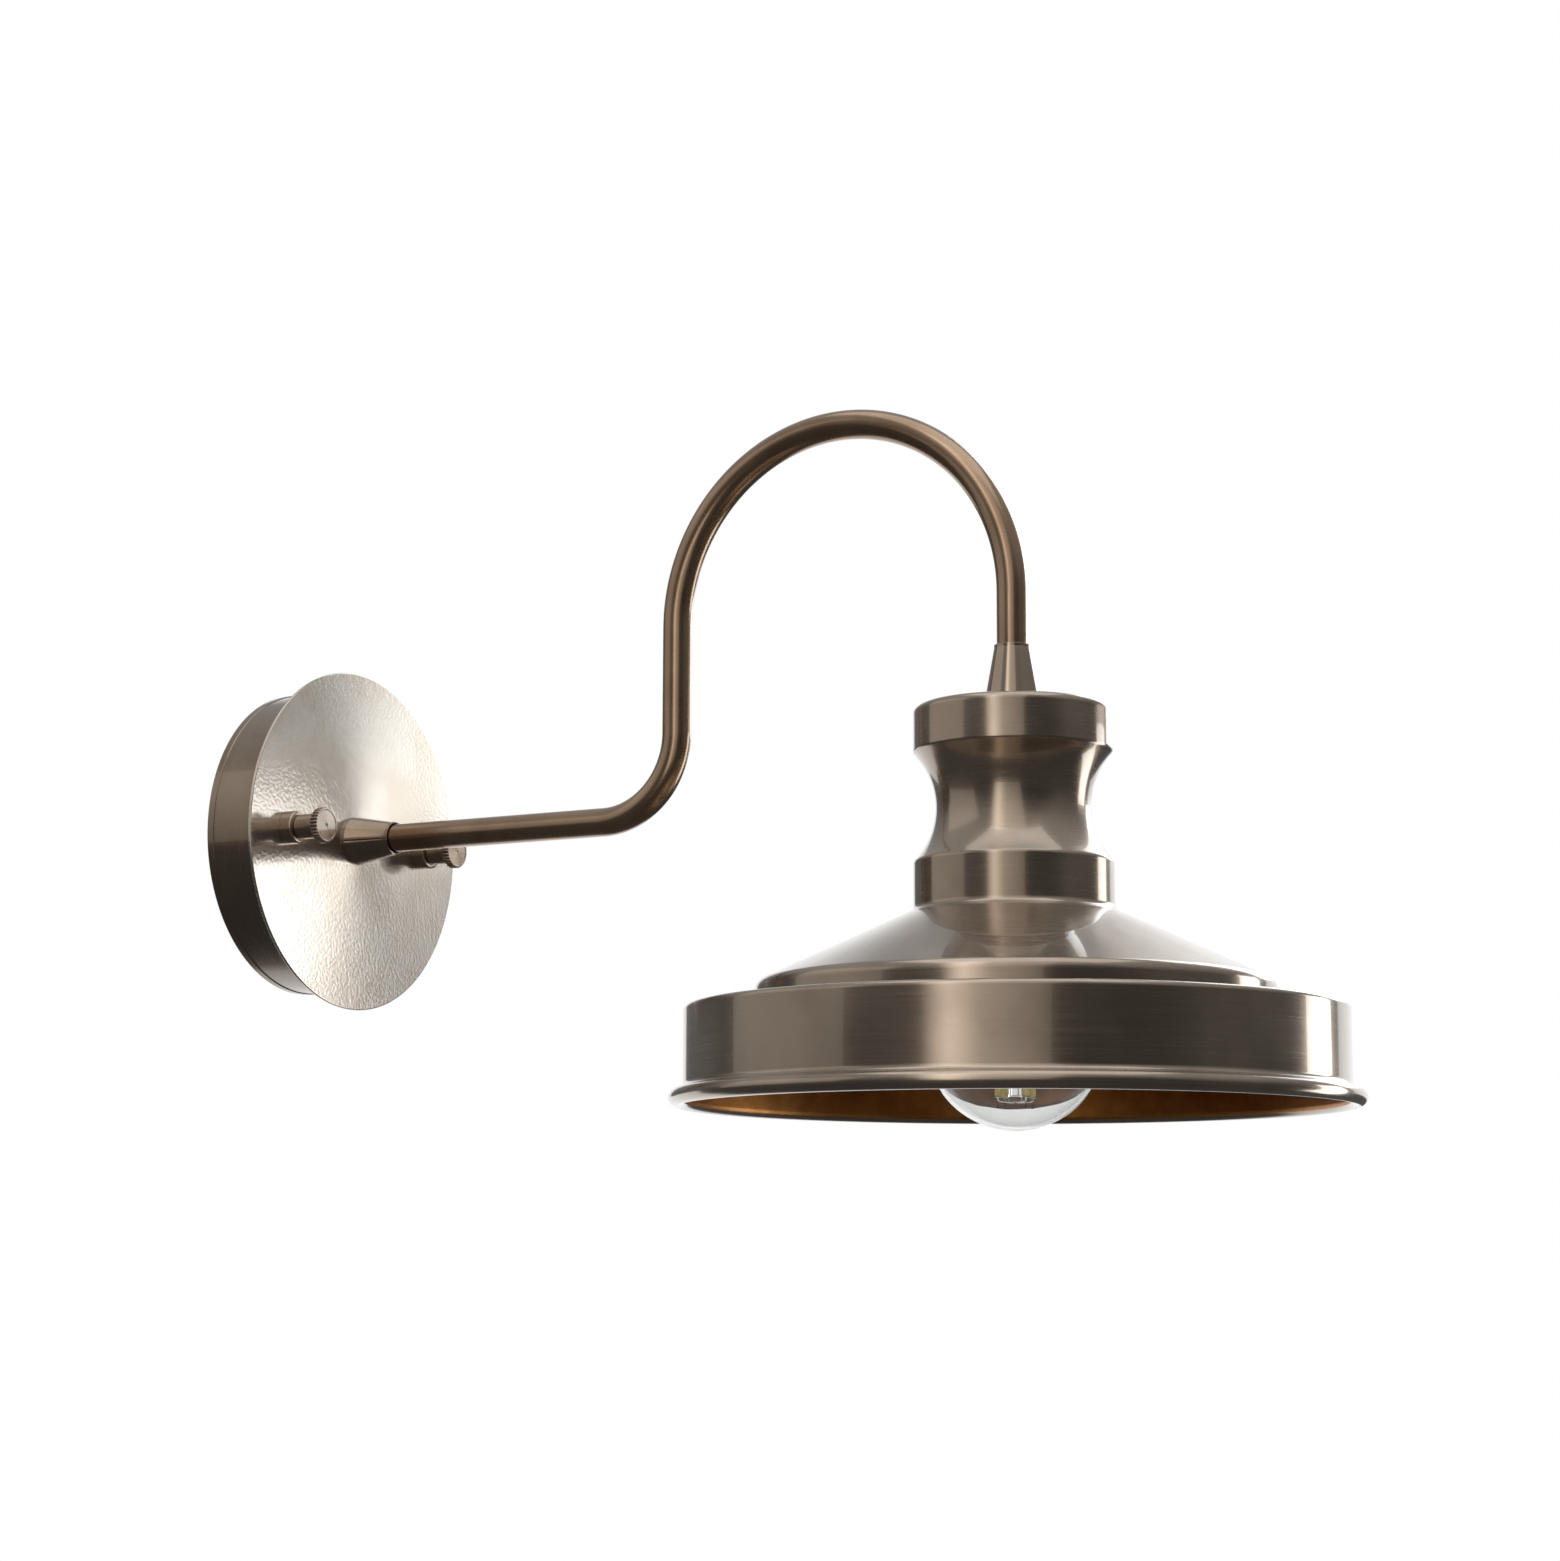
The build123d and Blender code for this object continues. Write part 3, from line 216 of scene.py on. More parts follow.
card = ease(room, along(room, looking, card_heading), *CARD_EDGE, 1.0, CARD_SHADE)
dim_room = sum_up(room, "MULTIPLY", walls, card)
mirrored_room = sum_up(room, "MAXIMUM", paper, dim_room)
seen, _, mirrored = light_path(room)
level = sum_up(room, "ADD", seen, sum_up(room, "MULTIPLY", mirrored, mirrored_room))
neither = sum_up(room, "SUBTRACT", 1.0, sum_up(room, "ADD", seen, mirrored), clamp=True)
level = sum_up(room, "MULTIPLY_ADD", neither, DIFFUSE_LEVEL, level)
sky = add_node(room, "Background", {"Color": (1, 1, 1, 1), "Strength": level})
add_node(room, "OutputWorld", {"Surface": sky.outputs[0]})
print("world nodes:", len(room.nodes))

# %% [markdown]
# ## Soft boxes
#
# Each soft box lays one bright stripe on the metal. The tall key box beside the camera makes the
# long stripe down the shade, and its cloth is brightest where the bulb stands behind it. The rim
# box is low behind on the right, the plate box lights the plate, the fill box is wide and weak on
# the left, and one hangs overhead. Each is placed by its angle around the lamp, counted from the
# camera to the right. An area lamp's brightness is its power divided by pi times its area, so the
# helper works out the watts from the brightness that the metal should mirror.

# %% Hang the soft boxes
def uneven_glow(lamp, glow):
    """Let the cloth of a box glow unevenly from left to right."""
    lamp.use_nodes = True
    tree = lamp.node_tree
    spot = add_node(tree, "NewGeometry").outputs["Parametric"]
    across = add_node(tree, "SeparateXYZ", {0: spot}).outputs[0]
    ramp = add_node(tree, "ValToRGB", {0: across})
    for place, level in glow[1:-1]:
        ramp.color_ramp.elements.new(place)
    for stop, (place, level) in zip(ramp.color_ramp.elements, glow):
        stop.position = place
        stop.color = (level, level, level, 1)
    tree.links.new(ramp.outputs[0], tree.nodes["Emission"].inputs["Strength"])


def soft_box(name, turn, distance, height, size, brightness, colour, centre=ON_SHADE_AXIS, glow=()):
    turn = radians(turn)
    outward = -level_forward * cos(turn) + level_right * sin(turn)
    lamp = bpy.data.lights.new(name, "AREA")
    lamp.shape = "RECTANGLE"
    lamp.size, lamp.size_y = size
    lamp.energy = brightness * pi * size[0] * size[1]
    lamp.color = colour
    box = put_in_scene(name, lamp)
    box.location = centre + outward * distance + Vector((0, 0, height))
    aim = centre - box.location
    box.rotation_euler = aim.to_track_quat("-Z", "Y").to_euler()
    box.visible_camera = False
    if glow:
        uneven_glow(lamp, glow)
    return box


WARM_LIGHT = (1.0, 0.95, 0.88)
PLAIN_LIGHT = (0.95, 0.98, 1.0)
COOL_LIGHT = (0.89, 0.96, 1.0)
KEY_GLOW = ((0.0, 0.05), (0.10, 0.55), (0.22, 1.0), (0.34, 0.62), (0.46, 0.33), (0.70, 0.25),
            (1.0, 0.19))
soft_box("key_box", turn=-13.3, distance=1.6, height=0.68, size=(1.42, 2.4), brightness=1.9,
         colour=WARM_LIGHT, glow=KEY_GLOW)
soft_box("rim_box", turn=115.0, distance=0.98, height=-0.175, size=(0.33, 0.75), brightness=3.2,
         colour=PLAIN_LIGHT)
soft_box("plate_box", turn=128.0, distance=1.0, height=0.50, size=(0.50, 0.75), brightness=2.6,
         colour=COOL_LIGHT, centre=ON_WALL_AXIS)
soft_box("fill_box", turn=-88.0, distance=3.0, height=0.95, size=(3.1, 2.2), brightness=0.38,
         colour=WARM_LIGHT)
top_box = soft_box("top_box", turn=0.0, distance=0.25, height=1.5, size=(1.7, 1.4),
                   brightness=0.9, colour=PLAIN_LIGHT)
print("top box at", [round(part, 2) for part in top_box.location])

# %% [markdown]
# ## The floor
#
# The floor is a pale disc. Close to the lamp it is matt and keeps the lamp's shadow. Further out
# it fades to white, so that no horizon shows. To metal it is a strip of white paper that runs
# away behind the lamp on a dim studio floor, and through clear glass it is white all over.

# %% Lay the floor
FLOOR_HEIGHT = -0.62
FLOOR_RADIUS = 14.0
FLOOR_SIDES = 96
FLOOR_TONE = (0.86, 0.855, 0.85, 1)
SHADOW_RADIUS = 0.9
FADE_RADIUS = 2.4
STRIP_START = (0.60, 0.90)
STRIP_EDGE = (-0.1, 0.2)
STRIP_SKEW = radians(-20)
DARK_FLOOR = 0.08

floor_mesh = bpy.data.meshes.new("floor")
floor_form = bmesh.new()
bmesh.ops.create_circle(floor_form, cap_ends=True, segments=FLOOR_SIDES, radius=FLOOR_RADIUS)
floor_form.to_mesh(floor_mesh)
floor_form.free()
floor = put_in_scene("floor", floor_mesh)
floor.location = ON_SHADE_AXIS + Vector((0, 0, FLOOR_HEIGHT))

floor_finish = bpy.data.materials.new("pale_floor")
floor_finish.use_nodes = True
tree = floor_finish.node_tree
tree.nodes.clear()
spot = add_node(tree, "TexCoord").outputs["Object"]
distance = vector_sum(tree, "LENGTH", spot).outputs["Value"]
_, through, mirrored = light_path(tree)
matt = add_node(tree, "BsdfDiffuse", {"Color": FLOOR_TONE})
white = add_node(tree, "Emission", {"Strength": 1.0})
plain = add_node(tree, "MixShader", {
    0: ease(tree, distance, SHADOW_RADIUS, FADE_RADIUS), 1: matt.outputs[0], 2: white.outputs[0]})
skewed = level_forward * cos(STRIP_SKEW) + level_right * sin(STRIP_SKEW)
onward = along(tree, spot, skewed)
sideways = sum_up(tree, "ABSOLUTE", along(tree, spot, skewed.cross(Vector((0, 0, 1)))))
inward = sum_up(tree, "MULTIPLY_ADD", onward, PAPER_SPREAD,
                sum_up(tree, "MULTIPLY", sideways, -1.0))
strip = sum_up(tree, "MULTIPLY", ease(tree, inward, *STRIP_EDGE), ease(tree, onward, *STRIP_START))
on_paper = ease(tree, strip, 0.0, 1.0, DARK_FLOOR)
bright = sum_up(tree, "MAXIMUM", on_paper, through)
reflected = add_node(tree, "Emission", {"Strength": bright})
surface = add_node(tree, "MixShader", {
    0: mirrored, 1: plain.outputs[0], 2: reflected.outputs[0]})
add_node(tree, "OutputMaterial", {"Surface": surface.outputs[0]})
floor_mesh.materials.append(floor_finish)
print("floor lies", -FLOOR_HEIGHT, "m below the arm")

# %% [markdown]
# ## Turned shapes
#
# Nearly every piece was made on a lathe: a flat outline went round an axis. The helpers do the
# same with a list of (radius, height) points. `rounded` gives corners their radii, and puts a
# second point close to each end of a rounding, so that smooth shading leaves the flat faces
# beside it true. `lathe` carries the outline round. A `warp` may change the radius from place to
# place, for knurls and threads.

# %% Outlines with rounded corners
ARC_STEP = radians(7)
HOLDING_GAP = 0.06 * MM
CURVE_STEP = radians(2.5)


def arc(centre, radius, start, stop, step=ARC_STEP):
    """Points along a circle, from one angle to another in radians."""
    count = max(2, ceil(abs(stop - start) / step))
    turns = [start + (stop - start) * index / count for index in range(count + 1)]
    return [(centre[0] + radius * cos(turn), centre[1] + radius * sin(turn))
            for turn in turns]


def rounded(corners, rounds):
    """The corners, of which those named in rounds are rounded to that radius."""
    points = []
    for index, corner in enumerate(corners):
        radius = rounds.get(index)
        if not radius:
            points.append(corner)
            continue
        here = Vector(corner)
        back = (Vector(corners[index - 1]) - here).normalized()
        onward = (Vector(corners[(index + 1) % len(corners)]) - here).normalized()
        half = back.angle(onward) / 2
        middle = (back + onward).normalized()
        centre = here + middle * (radius / sin(half))
        first = here + back * (radius / tan(half))
        last = here + onward * (radius / tan(half))
        spread = (first - centre).angle(last - centre)
        count = max(3, ceil(spread / ARC_STEP))
        points.append(tuple(first + back * HOLDING_GAP))
        for part in range(count + 1):
            share = part / count
            one = sin((1 - share) * spread) / sin(spread)
            other = sin(share * spread) / sin(spread)
            points.append(tuple(centre + (first - centre) * one + (last - centre) * other))
        points.append(tuple(last + onward * HOLDING_GAP))
    return points


def inset(points, depth):
    """The same outline moved sideways by the thickness of a sheet."""
    moved = []
    for index, point in enumerate(points):
        before = Vector(points[max(index - 1, 0)])
        after = Vector(points[min(index + 1, len(points) - 1)])
        run = (after - before).normalized()
        moved.append((point[0] - run.y * depth, point[1] + run.x * depth))
    return moved


square = rounded([(0, 0), (1, 0), (1, 1), (0, 1)], {0: 0.1, 2: 0.1})
print("a square with two rounded corners has", len(square), "points")

# %% Carry an outline round an axis
AROUND_ROD, AROUND_SMALL, AROUND_MIDDLE, AROUND_LARGE, AROUND_DISC = 64, 96, 128, 192, 256
SHARP_ANGLE = radians(38)
ON_AXIS = 0.001 * MM


def new_piece(name, vertices, faces):
    """A mesh object with its faces turned outward, smooth between soft edges only."""
    mesh = bpy.data.meshes.new(name)
    mesh.from_pydata(vertices, [], faces)
    form = bmesh.new()
    form.from_mesh(mesh)
    bmesh.ops.recalc_face_normals(form, faces=form.faces)
    form.to_mesh(mesh)
    form.free()
    mesh.shade_smooth()
    mesh.set_sharp_from_angle(angle=SHARP_ANGLE)
    return put_in_scene(name, mesh)


def skin(rings):
    """Faces from each ring to the next; a ring of one vertex is a tip."""
    faces = []
    for low, high in zip(rings, rings[1:]):
        around = max(len(low), len(high))
        for step in range(around):
            follow = (step + 1) % around
            corners = [low[step % len(low)], low[follow % len(low)],
                       high[follow % len(high)], high[step % len(high)]]
            corners = list(dict.fromkeys(corners))
            if len(corners) > 2:
                faces.append(corners)
    return faces


def lathe(name, outline, around=AROUND_LARGE, closed=True, warp=None):
    """Turn an outline about the local Z axis; an open outline starts and ends on the axis."""
    rings, vertices = [], []
    for radius, height in outline:
        steps = 1 if radius < ON_AXIS else around
        rings.append(range(len(vertices), len(vertices) + steps))
        for step in range(steps):
            turn = 2 * pi * step / around
            reach = warp(turn, radius, height) if warp else radius
            vertices.append((reach * cos(turn), reach * sin(turn), height))
    return new_piece(name, vertices, skin(rings + rings[:1] if closed else rings))


def stand(piece, place, facing="up"):
    """Put a turned piece on its axis, upright or pointing out from the wall."""
    piece.location = place
    if facing == "out":
        piece.rotation_euler = (radians(90), 0, 0)
    return piece


def join_pieces(pieces):
    """Make one piece out of several separate solids."""
    with bpy.context.temp_override(active_object=pieces[0], selected_editable_objects=pieces):
        bpy.ops.object.join()
    return pieces[0]


# %% [markdown]
# ## Swept shapes
#
# The arm and the wires are one circle carried along a bent line. At each point of the line a ring
# stands square to it, turned as little as possible from the ring before, so no mesh twists.

# %% Carry a circle along a line
def sweep(name, line, radius, around, bore=0.0):
    """A round bar along a list of points; with a bore it is a tube with flat ends."""
    line = [Vector(point) for point in line]
    runs = [(after - before).normalized() for before, after in zip(line, line[1:])]
    headings = [runs[0]] + [(a + b).normalized() for a, b in zip(runs, runs[1:])] + [runs[-1]]
    side = headings[0].orthogonal().normalized()
    frames = []
    for before, heading in zip([headings[0]] + headings, headings):
        side = before.rotation_difference(heading) @ side
        side = (side - heading * side.dot(heading)).normalized()
        frames.append((side, heading.cross(side)))
    vertices, layers = [], []
    for reach in [radius, bore] if bore else [radius]:
        layers.append([])
        for point, (one, other) in zip(line, frames):
            layers[-1].append(range(len(vertices), len(vertices) + around))
            for step in range(around):
                turn = 2 * pi * step / around
                vertices.append(point + reach * (one * cos(turn) + other * sin(turn)))
    faces = [face for rings in layers for face in skin(rings)]
    outer, inner = layers[0], layers[-1]
    for end in (0, -1):
        faces += skin([outer[end], inner[end]]) if bore else [list(outer[end])]
    return new_piece(name, [tuple(vertex) for vertex in vertices], faces)


def bent_line(*parts):
    """One list of points out of several, without doubled points."""
    line = []
    for point in (Vector(point) for part in parts for point in part):
        if not line or (point - line[-1]).length > ON_AXIS:
            line.append(point)
    return line


# %% [markdown]
# ## Giving a piece its place in the lamp
#
# Three facts belong to every piece: the body that it moves with, the drawn nodes that it stands
# for, and its finish. One helper sets all three.

# %% Finish a piece
def fit(piece, body, finishes, nodes=()):
    """Paint a piece, let it ride on its body and hide the drawn nodes that it replaces."""
    for finish in finishes:
        piece.data.materials.append(finish)
    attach(piece, body)
    if nodes:
        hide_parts(*nodes)
    print(piece.name, "rides on", body, "with", len(piece.data.polygons), "faces")
    return piece


def paint(finish, *nodes):
    """Give drawn nodes a better finish and leave their shapes alone."""
    for node in nodes:
        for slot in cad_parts[node].material_slots:
            slot.material = finish
    print(finish.name, "is on", *nodes)


# %% [markdown]
# ## Spun metal
#
# The shade and the plate's drum are antique nickel: a greyish brown metal, brushed while it spun
# on the lathe and then lacquered. The drum's copy is painted darker, as painted shade. Cones and
# thumb nuts get the same look in other tones.
#
# * The brushing runs round the axis, so highlights stretch across it: the shader's anisotropy
#   does that, with a tangent that runs round local Z and a quarter turn of rotation.
# * The brush marks are a noise, very fine across the marks and long along them. They drive a
#   little relief, roughness and colour.
# * The lacquer is a clear, sharp coat over the soft metal. It mirrors the paper at the edges.

# %% The turned pattern that every spun finish shares
BRUSH_FINENESS = 2600.0
BRUSH_LENGTH = 3.0
BRUSH_DEPTH = 0.05 * MM
BRUSH_SHARE = 0.25
PATINA_PATCH = 28 * MM
ROUND_THE_AXIS = {"Anisotropic_Rotation": 0.25}
SPUN_LACQUER = {"Coat_Roughness": 0.03, "Coat_IOR": 1.6}
METAL = {"Metallic": 1.0}


def new_finish(name, **sockets):
    """A material with one principled shader and its plain values."""
    finish = bpy.data.materials.new(name)
    finish.use_nodes = True
    tree = finish.node_tree
    shader = tree.nodes["Principled BSDF"]
    for socket, value in sockets.items():
        shader.inputs[socket.replace("_", " ")].default_value = value
    return finish, tree, shader


def brushed_noise(tree):
    """Noise that changes quickly across the brush marks and slowly round the axis."""
    place = add_node(tree, "TexCoord").outputs["Object"]
    climb = add_node(tree, "SeparateXYZ", {0: place}).outputs[2]
    flat = vector_sum(tree, "MULTIPLY", place, (1, 1, 0)).outputs[0]
    reach = vector_sum(tree, "LENGTH", flat).outputs["Value"]
    heading = vector_sum(tree, "NORMALIZE", flat).outputs[0]
    turned = add_node(tree, "VectorMath", {0: heading, "Scale": BRUSH_LENGTH},
                      operation="SCALE").outputs[0]
    across = sum_up(tree, "MULTIPLY", reach, BRUSH_FINENESS)
    outward = add_node(tree, "CombineXYZ", {2: across}).outputs[0]
    noise = add_node(tree, "TexNoise", {
        "Vector": vector_sum(tree, "ADD", turned, outward).outputs[0],
        "W": sum_up(tree, "MULTIPLY", climb, BRUSH_FINENESS),
        "Scale": 1.0, "Detail": 3.0, "Roughness": 0.65}, noise_dimensions="4D")
    return noise.outputs[0]


def mottle(tree, size, detail=4.0, low=0.35, high=0.65):
    """Soft irregular patches of a given size, from 0 to 1."""
    place = add_node(tree, "TexCoord").outputs["Object"]
    noise = add_node(tree, "TexNoise", {
        "Vector": place, "Scale": 1 / size, "Detail": detail})
    return ease(tree, noise.outputs[0], low, high)


def relief(tree, height, strength, depth):
    """A pattern that raises and lowers the surface."""
    return add_node(tree, "Bump", {
        "Height": height, "Strength": strength, "Distance": depth}).outputs[0]


def round_tangent(tree):
    """A tangent that lets highlights stretch round local Z."""
    return add_node(tree, "Tangent", direction_type="RADIAL", axis="Z").outputs[0]


def two_tone(tree, factor, one, other):
    """Mix two colours."""
    node = add_node(tree, "Mix", {"Factor": factor}, data_type="RGBA")
    node.inputs["A"].default_value = (*one, 1)
    node.inputs["B"].default_value = (*other, 1)
    return next(socket for socket in node.outputs if socket.type == "RGBA")


def spun_metal(name, light, dark, roughness, anisotropy, coat, depth=0.05):
    """Brushed, patinated and lacquered metal for a piece that is turned about local Z."""
    finish, tree, shader = new_finish(
        name, Anisotropic=anisotropy, Coat_Weight=coat, **ROUND_THE_AXIS, **SPUN_LACQUER, **METAL)
    brush = brushed_noise(tree)
    patches = sum_up(tree, "MULTIPLY", mottle(tree, PATINA_PATCH), 1 - BRUSH_SHARE)
    grime = sum_up(tree, "MULTIPLY_ADD", ease(tree, brush, 0.3, 0.7), BRUSH_SHARE, patches)
    set_inputs(tree, shader, {
        "Base Color": two_tone(tree, grime, dark, light),
        "Roughness": ease(tree, brush, 0.25, 0.75, roughness - 0.03, roughness + 0.04),
        "Normal": relief(tree, brush, depth, BRUSH_DEPTH), "Tangent": round_tangent(tree)})
    return finish


nickel = spun_metal("antique_nickel_spun", (0.38, 0.30, 0.23), (0.28, 0.215, 0.16),
                    roughness=0.24, anisotropy=0.72, coat=1.0)
# The same nickel painted darker for the drum: painted shade, not a darker metal.
drum_nickel_painted_shade = spun_metal("antique_nickel_painted_shade", (0.27, 0.20, 0.14), (0.19, 0.135, 0.09),
                        roughness=0.26, anisotropy=0.7, coat=0.9)
bronze = spun_metal("aged_bronze_turned", (0.38, 0.295, 0.22), (0.31, 0.235, 0.17),
                    roughness=0.15, anisotropy=0.5, coat=1.0, depth=0.01)
nut_metal = spun_metal("antique_nickel_faced", (0.42, 0.325, 0.25), (0.32, 0.24, 0.18),
                       roughness=0.29, anisotropy=0.4, coat=0.7)
print("spun finishes:", nickel.name, drum_nickel_painted_shade.name, bronze.name, nut_metal.name)

# %% [markdown]
# ## The other finishes
#
# The plate's face is finely hammered, so it gets a wavy grain instead of lines. The inside of the
# shade is bare copper under a clear coat. The hidden parts are zinc plated steel, brass, black
# enamel, glazed ceramic and plastic. `grained` makes them all: two soft tones and a grain. Its
# numbers are the roughness, then the grain's size and depth in millimetres.

# %% Finishes without brush marks
GRAIN_STRENGTH = 0.3
LACQUER = {"Coat_Weight": 0.9, "Coat_Roughness": 0.04}


def grained(name, light, dark, roughness, grain, depth, patch=9, uneven=0.05, **sockets):
    """A finish with soft patches of two tones, uneven gloss and a fine grain."""
    finish, tree, shader = new_finish(name, **sockets)
    fine = mottle(tree, grain * MM, 0.5, 0.2, 0.8)
    set_inputs(tree, shader, {
        "Base Color": two_tone(tree, mottle(tree, patch * MM), dark, light),
        "Roughness": ease(tree, fine, 0.0, 1.0, roughness - uneven, roughness + uneven)})
    if depth:
        bump = relief(tree, fine, GRAIN_STRENGTH, depth * MM)
        set_inputs(tree, shader, {"Normal": bump, "Coat Normal": bump})
    return finish


hammered = grained(
    "antique_nickel_hammered", (0.63, 0.565, 0.50), (0.58, 0.50, 0.42), 0.22, 1.3, 0.04,
    patch=30, uneven=0.01, Anisotropic=0.65, **ROUND_THE_AXIS, **METAL, **LACQUER)
tree = hammered.node_tree
set_inputs(tree, tree.nodes["Principled BSDF"], {"Tangent": round_tangent(tree)})
copper = grained("copper_inside", (0.54, 0.235, 0.06), (0.44, 0.18, 0.04), 0.40, 1.2, 0.01,
                 Coat_Weight=0.15, Coat_Roughness=0.2, **METAL)
bronze_tube = grained("aged_bronze_drawn", (0.335, 0.222, 0.14), (0.27, 0.17, 0.10), 0.25, 6.0, 0.0,
                      patch=22, uneven=0.01, **METAL, **LACQUER)
zinc = grained("zinc_steel_plated", (0.60, 0.61, 0.62), (0.50, 0.51, 0.53), 0.36, 0.5, 0.01,
               **METAL)
brass = grained("brass_stamped", (0.78, 0.57, 0.27), (0.66, 0.46, 0.20), 0.30, 0.6, 0.01, **METAL)
cap_metal = grained("lamp_cap_nickel", (0.66, 0.64, 0.60), (0.56, 0.54, 0.50), 0.25, 0.6, 0.01,
                    **METAL)
lead = grained("solder_button", (0.55, 0.55, 0.56), (0.42, 0.42, 0.44), 0.45, 0.8, 0.05, **METAL)
dark_wire = grained("oxidised_wire", (0.06, 0.055, 0.05), (0.03, 0.03, 0.03), 0.5, 0.4, 0.01,
                    **METAL)
enamel = grained("black_enamel", (0.030, 0.029, 0.028), (0.018, 0.018, 0.018), 0.38, 0.5, 0.01)
glaze = grained("ceramic_glazed", (0.84, 0.82, 0.78), (0.78, 0.76, 0.71), 0.22, 1.5, 0.02,
                Coat_Weight=0.5)
button = grained("black_glass_button", (0.02, 0.017, 0.02), (0.01, 0.01, 0.01), 0.08, 1.0, 0.005)
board = grained("circuit_board_green", (0.06, 0.22, 0.10), (0.04, 0.15, 0.07), 0.45, 0.7, 0.02)
plastic = grained("pale_plastic_moulded", (0.80, 0.80, 0.77), (0.74, 0.74, 0.71), 0.42, 0.4, 0.02)
brown = grained("brown_sleeve_soft", (0.22, 0.10, 0.05), (0.17, 0.075, 0.04), 0.45, 0.5, 0.01)
blue = grained("blue_sleeve_soft", (0.06, 0.20, 0.50), (0.045, 0.16, 0.42), 0.45, 0.5, 0.01)
green = grained("green_sleeve_soft", (0.13, 0.42, 0.08), (0.10, 0.33, 0.06), 0.45, 0.5, 0.01)
phosphor = grained("yellow_phosphor", (0.95, 0.78, 0.22), (0.90, 0.70, 0.16), 0.5, 0.4, 0.05)
print("finishes:", len(bpy.data.materials))

# %% [markdown]
# Clear glass needs no colour: it is a transmitting shader with the index of window glass. A trace
# of waviness keeps a blown bulb from looking like a computed one.

# %% Clear glass
GLASS_INDEX = 1.5
WAVE_LENGTH, WAVE_DEPTH = mm(14, 0.15)

glass, tree, shader = new_finish("clear_glass_blown", Base_Color=(0.915, 0.92, 0.915, 1),
                                 Roughness=0.0, IOR=GLASS_INDEX, Transmission_Weight=1.0)
wave = mottle(tree, WAVE_LENGTH, 1.0, 0.3, 0.7)
set_inputs(tree, shader, {"Normal": relief(tree, wave, 0.15, WAVE_DEPTH)})
print("glass bends light by", GLASS_INDEX)

# %% [markdown]
# ## The wall plate
#
# The plate is two spun parts: a drum, open to the wall, that hides the bracket and the wires, and
# a thin disc a little wider than the drum. `lathe` makes both, pointing out from the wall. The
# drum's back edge carries a low bead. The holes for the two studs are cut with a boolean.

# %% Drum and disc
DISC_RADIUS, DISC_THICKNESS, DISC_EDGE = mm(63.0, 1.2, 0.4)
DRUM_RADIUS, DRUM_WALL, DRUM_DEPTH, DRUM_CORNER = mm(56.0, 0.9, 23.8, 2.0)
LIP_WIDTH, LIP_RISE = mm(2.6, 0.3)
EDGE_BREAK = 0.2 * MM
ARM_HOLE, STUD_HOLE, NUT_SPACING = mm(5.3, 2.3, 82.0)
HOLE_SIDES = 32
DISC_FACE = DRUM_DEPTH + DISC_THICKNESS

drum_inside = DRUM_RADIUS - DRUM_WALL
drum_floor = DRUM_DEPTH - DRUM_WALL
drum = lathe("canopy_cup_spun", rounded([
    (drum_inside, 0), (DRUM_RADIUS + LIP_RISE, 0), (DRUM_RADIUS + LIP_RISE, LIP_WIDTH),
    (DRUM_RADIUS, LIP_WIDTH + LIP_RISE), (DRUM_RADIUS, DRUM_DEPTH), (ARM_HOLE, DRUM_DEPTH),
    (ARM_HOLE, drum_floor), (drum_inside, drum_floor),
], {1: EDGE_BREAK, 2: EDGE_BREAK, 4: DRUM_CORNER, 7: DRUM_CORNER - DRUM_WALL}))
disc = lathe("canopy_disc_spun", rounded([
    (ARM_HOLE, DRUM_DEPTH), (DISC_RADIUS, DRUM_DEPTH), (DISC_RADIUS, DISC_FACE),
    (ARM_HOLE, DISC_FACE)], {1: DISC_EDGE, 2: DISC_EDGE}), around=AROUND_DISC)


def drill(piece, radius, depth):
    """Cut the two stud holes through a turned plate; its axis is local Z."""
    pin = [(0, -depth), (radius, -depth), (radius, depth), (0, depth)]
    for side in (-1, 1):
        bit = lathe("drill_bit", pin, around=HOLE_SIDES, closed=False)
        bit.location = (side * NUT_SPACING / 2, 0, 0)
        cut = piece.modifiers.new("stud_hole", "BOOLEAN")
        cut.object = bit
        cut.operation = "DIFFERENCE"
        cut.solver = "EXACT"
        with bpy.context.temp_override(object=piece, active_object=piece):
            bpy.ops.object.modifier_apply(modifier=cut.name)
        bpy.data.objects.remove(bit)
    piece.data.set_sharp_from_angle(angle=SHARP_ANGLE)


# The drum takes the darker copy of the nickel, which is painted shade.
for plate, finish, node in ((drum, drum_nickel_painted_shade, "canopy_cup"), (disc, hammered, "canopy_disc")):
    drill(plate, STUD_HOLE, 2 * DISC_FACE)
    fit(stand(plate, ON_WALL_AXIS, "out"), "root", [finish], [node])

# %% [markdown]
# ## Thumb nuts
#
# A thumb nut on each of two studs holds the plate. It has a plain bush at its foot, a turned
# shank and a head with straight knurls. The knurls are real geometry: the head's radius dips in a
# round groove thirty times on its way round. The face is dished inside a narrow rim and keeps the
# dimple that the lathe's centre leaves.

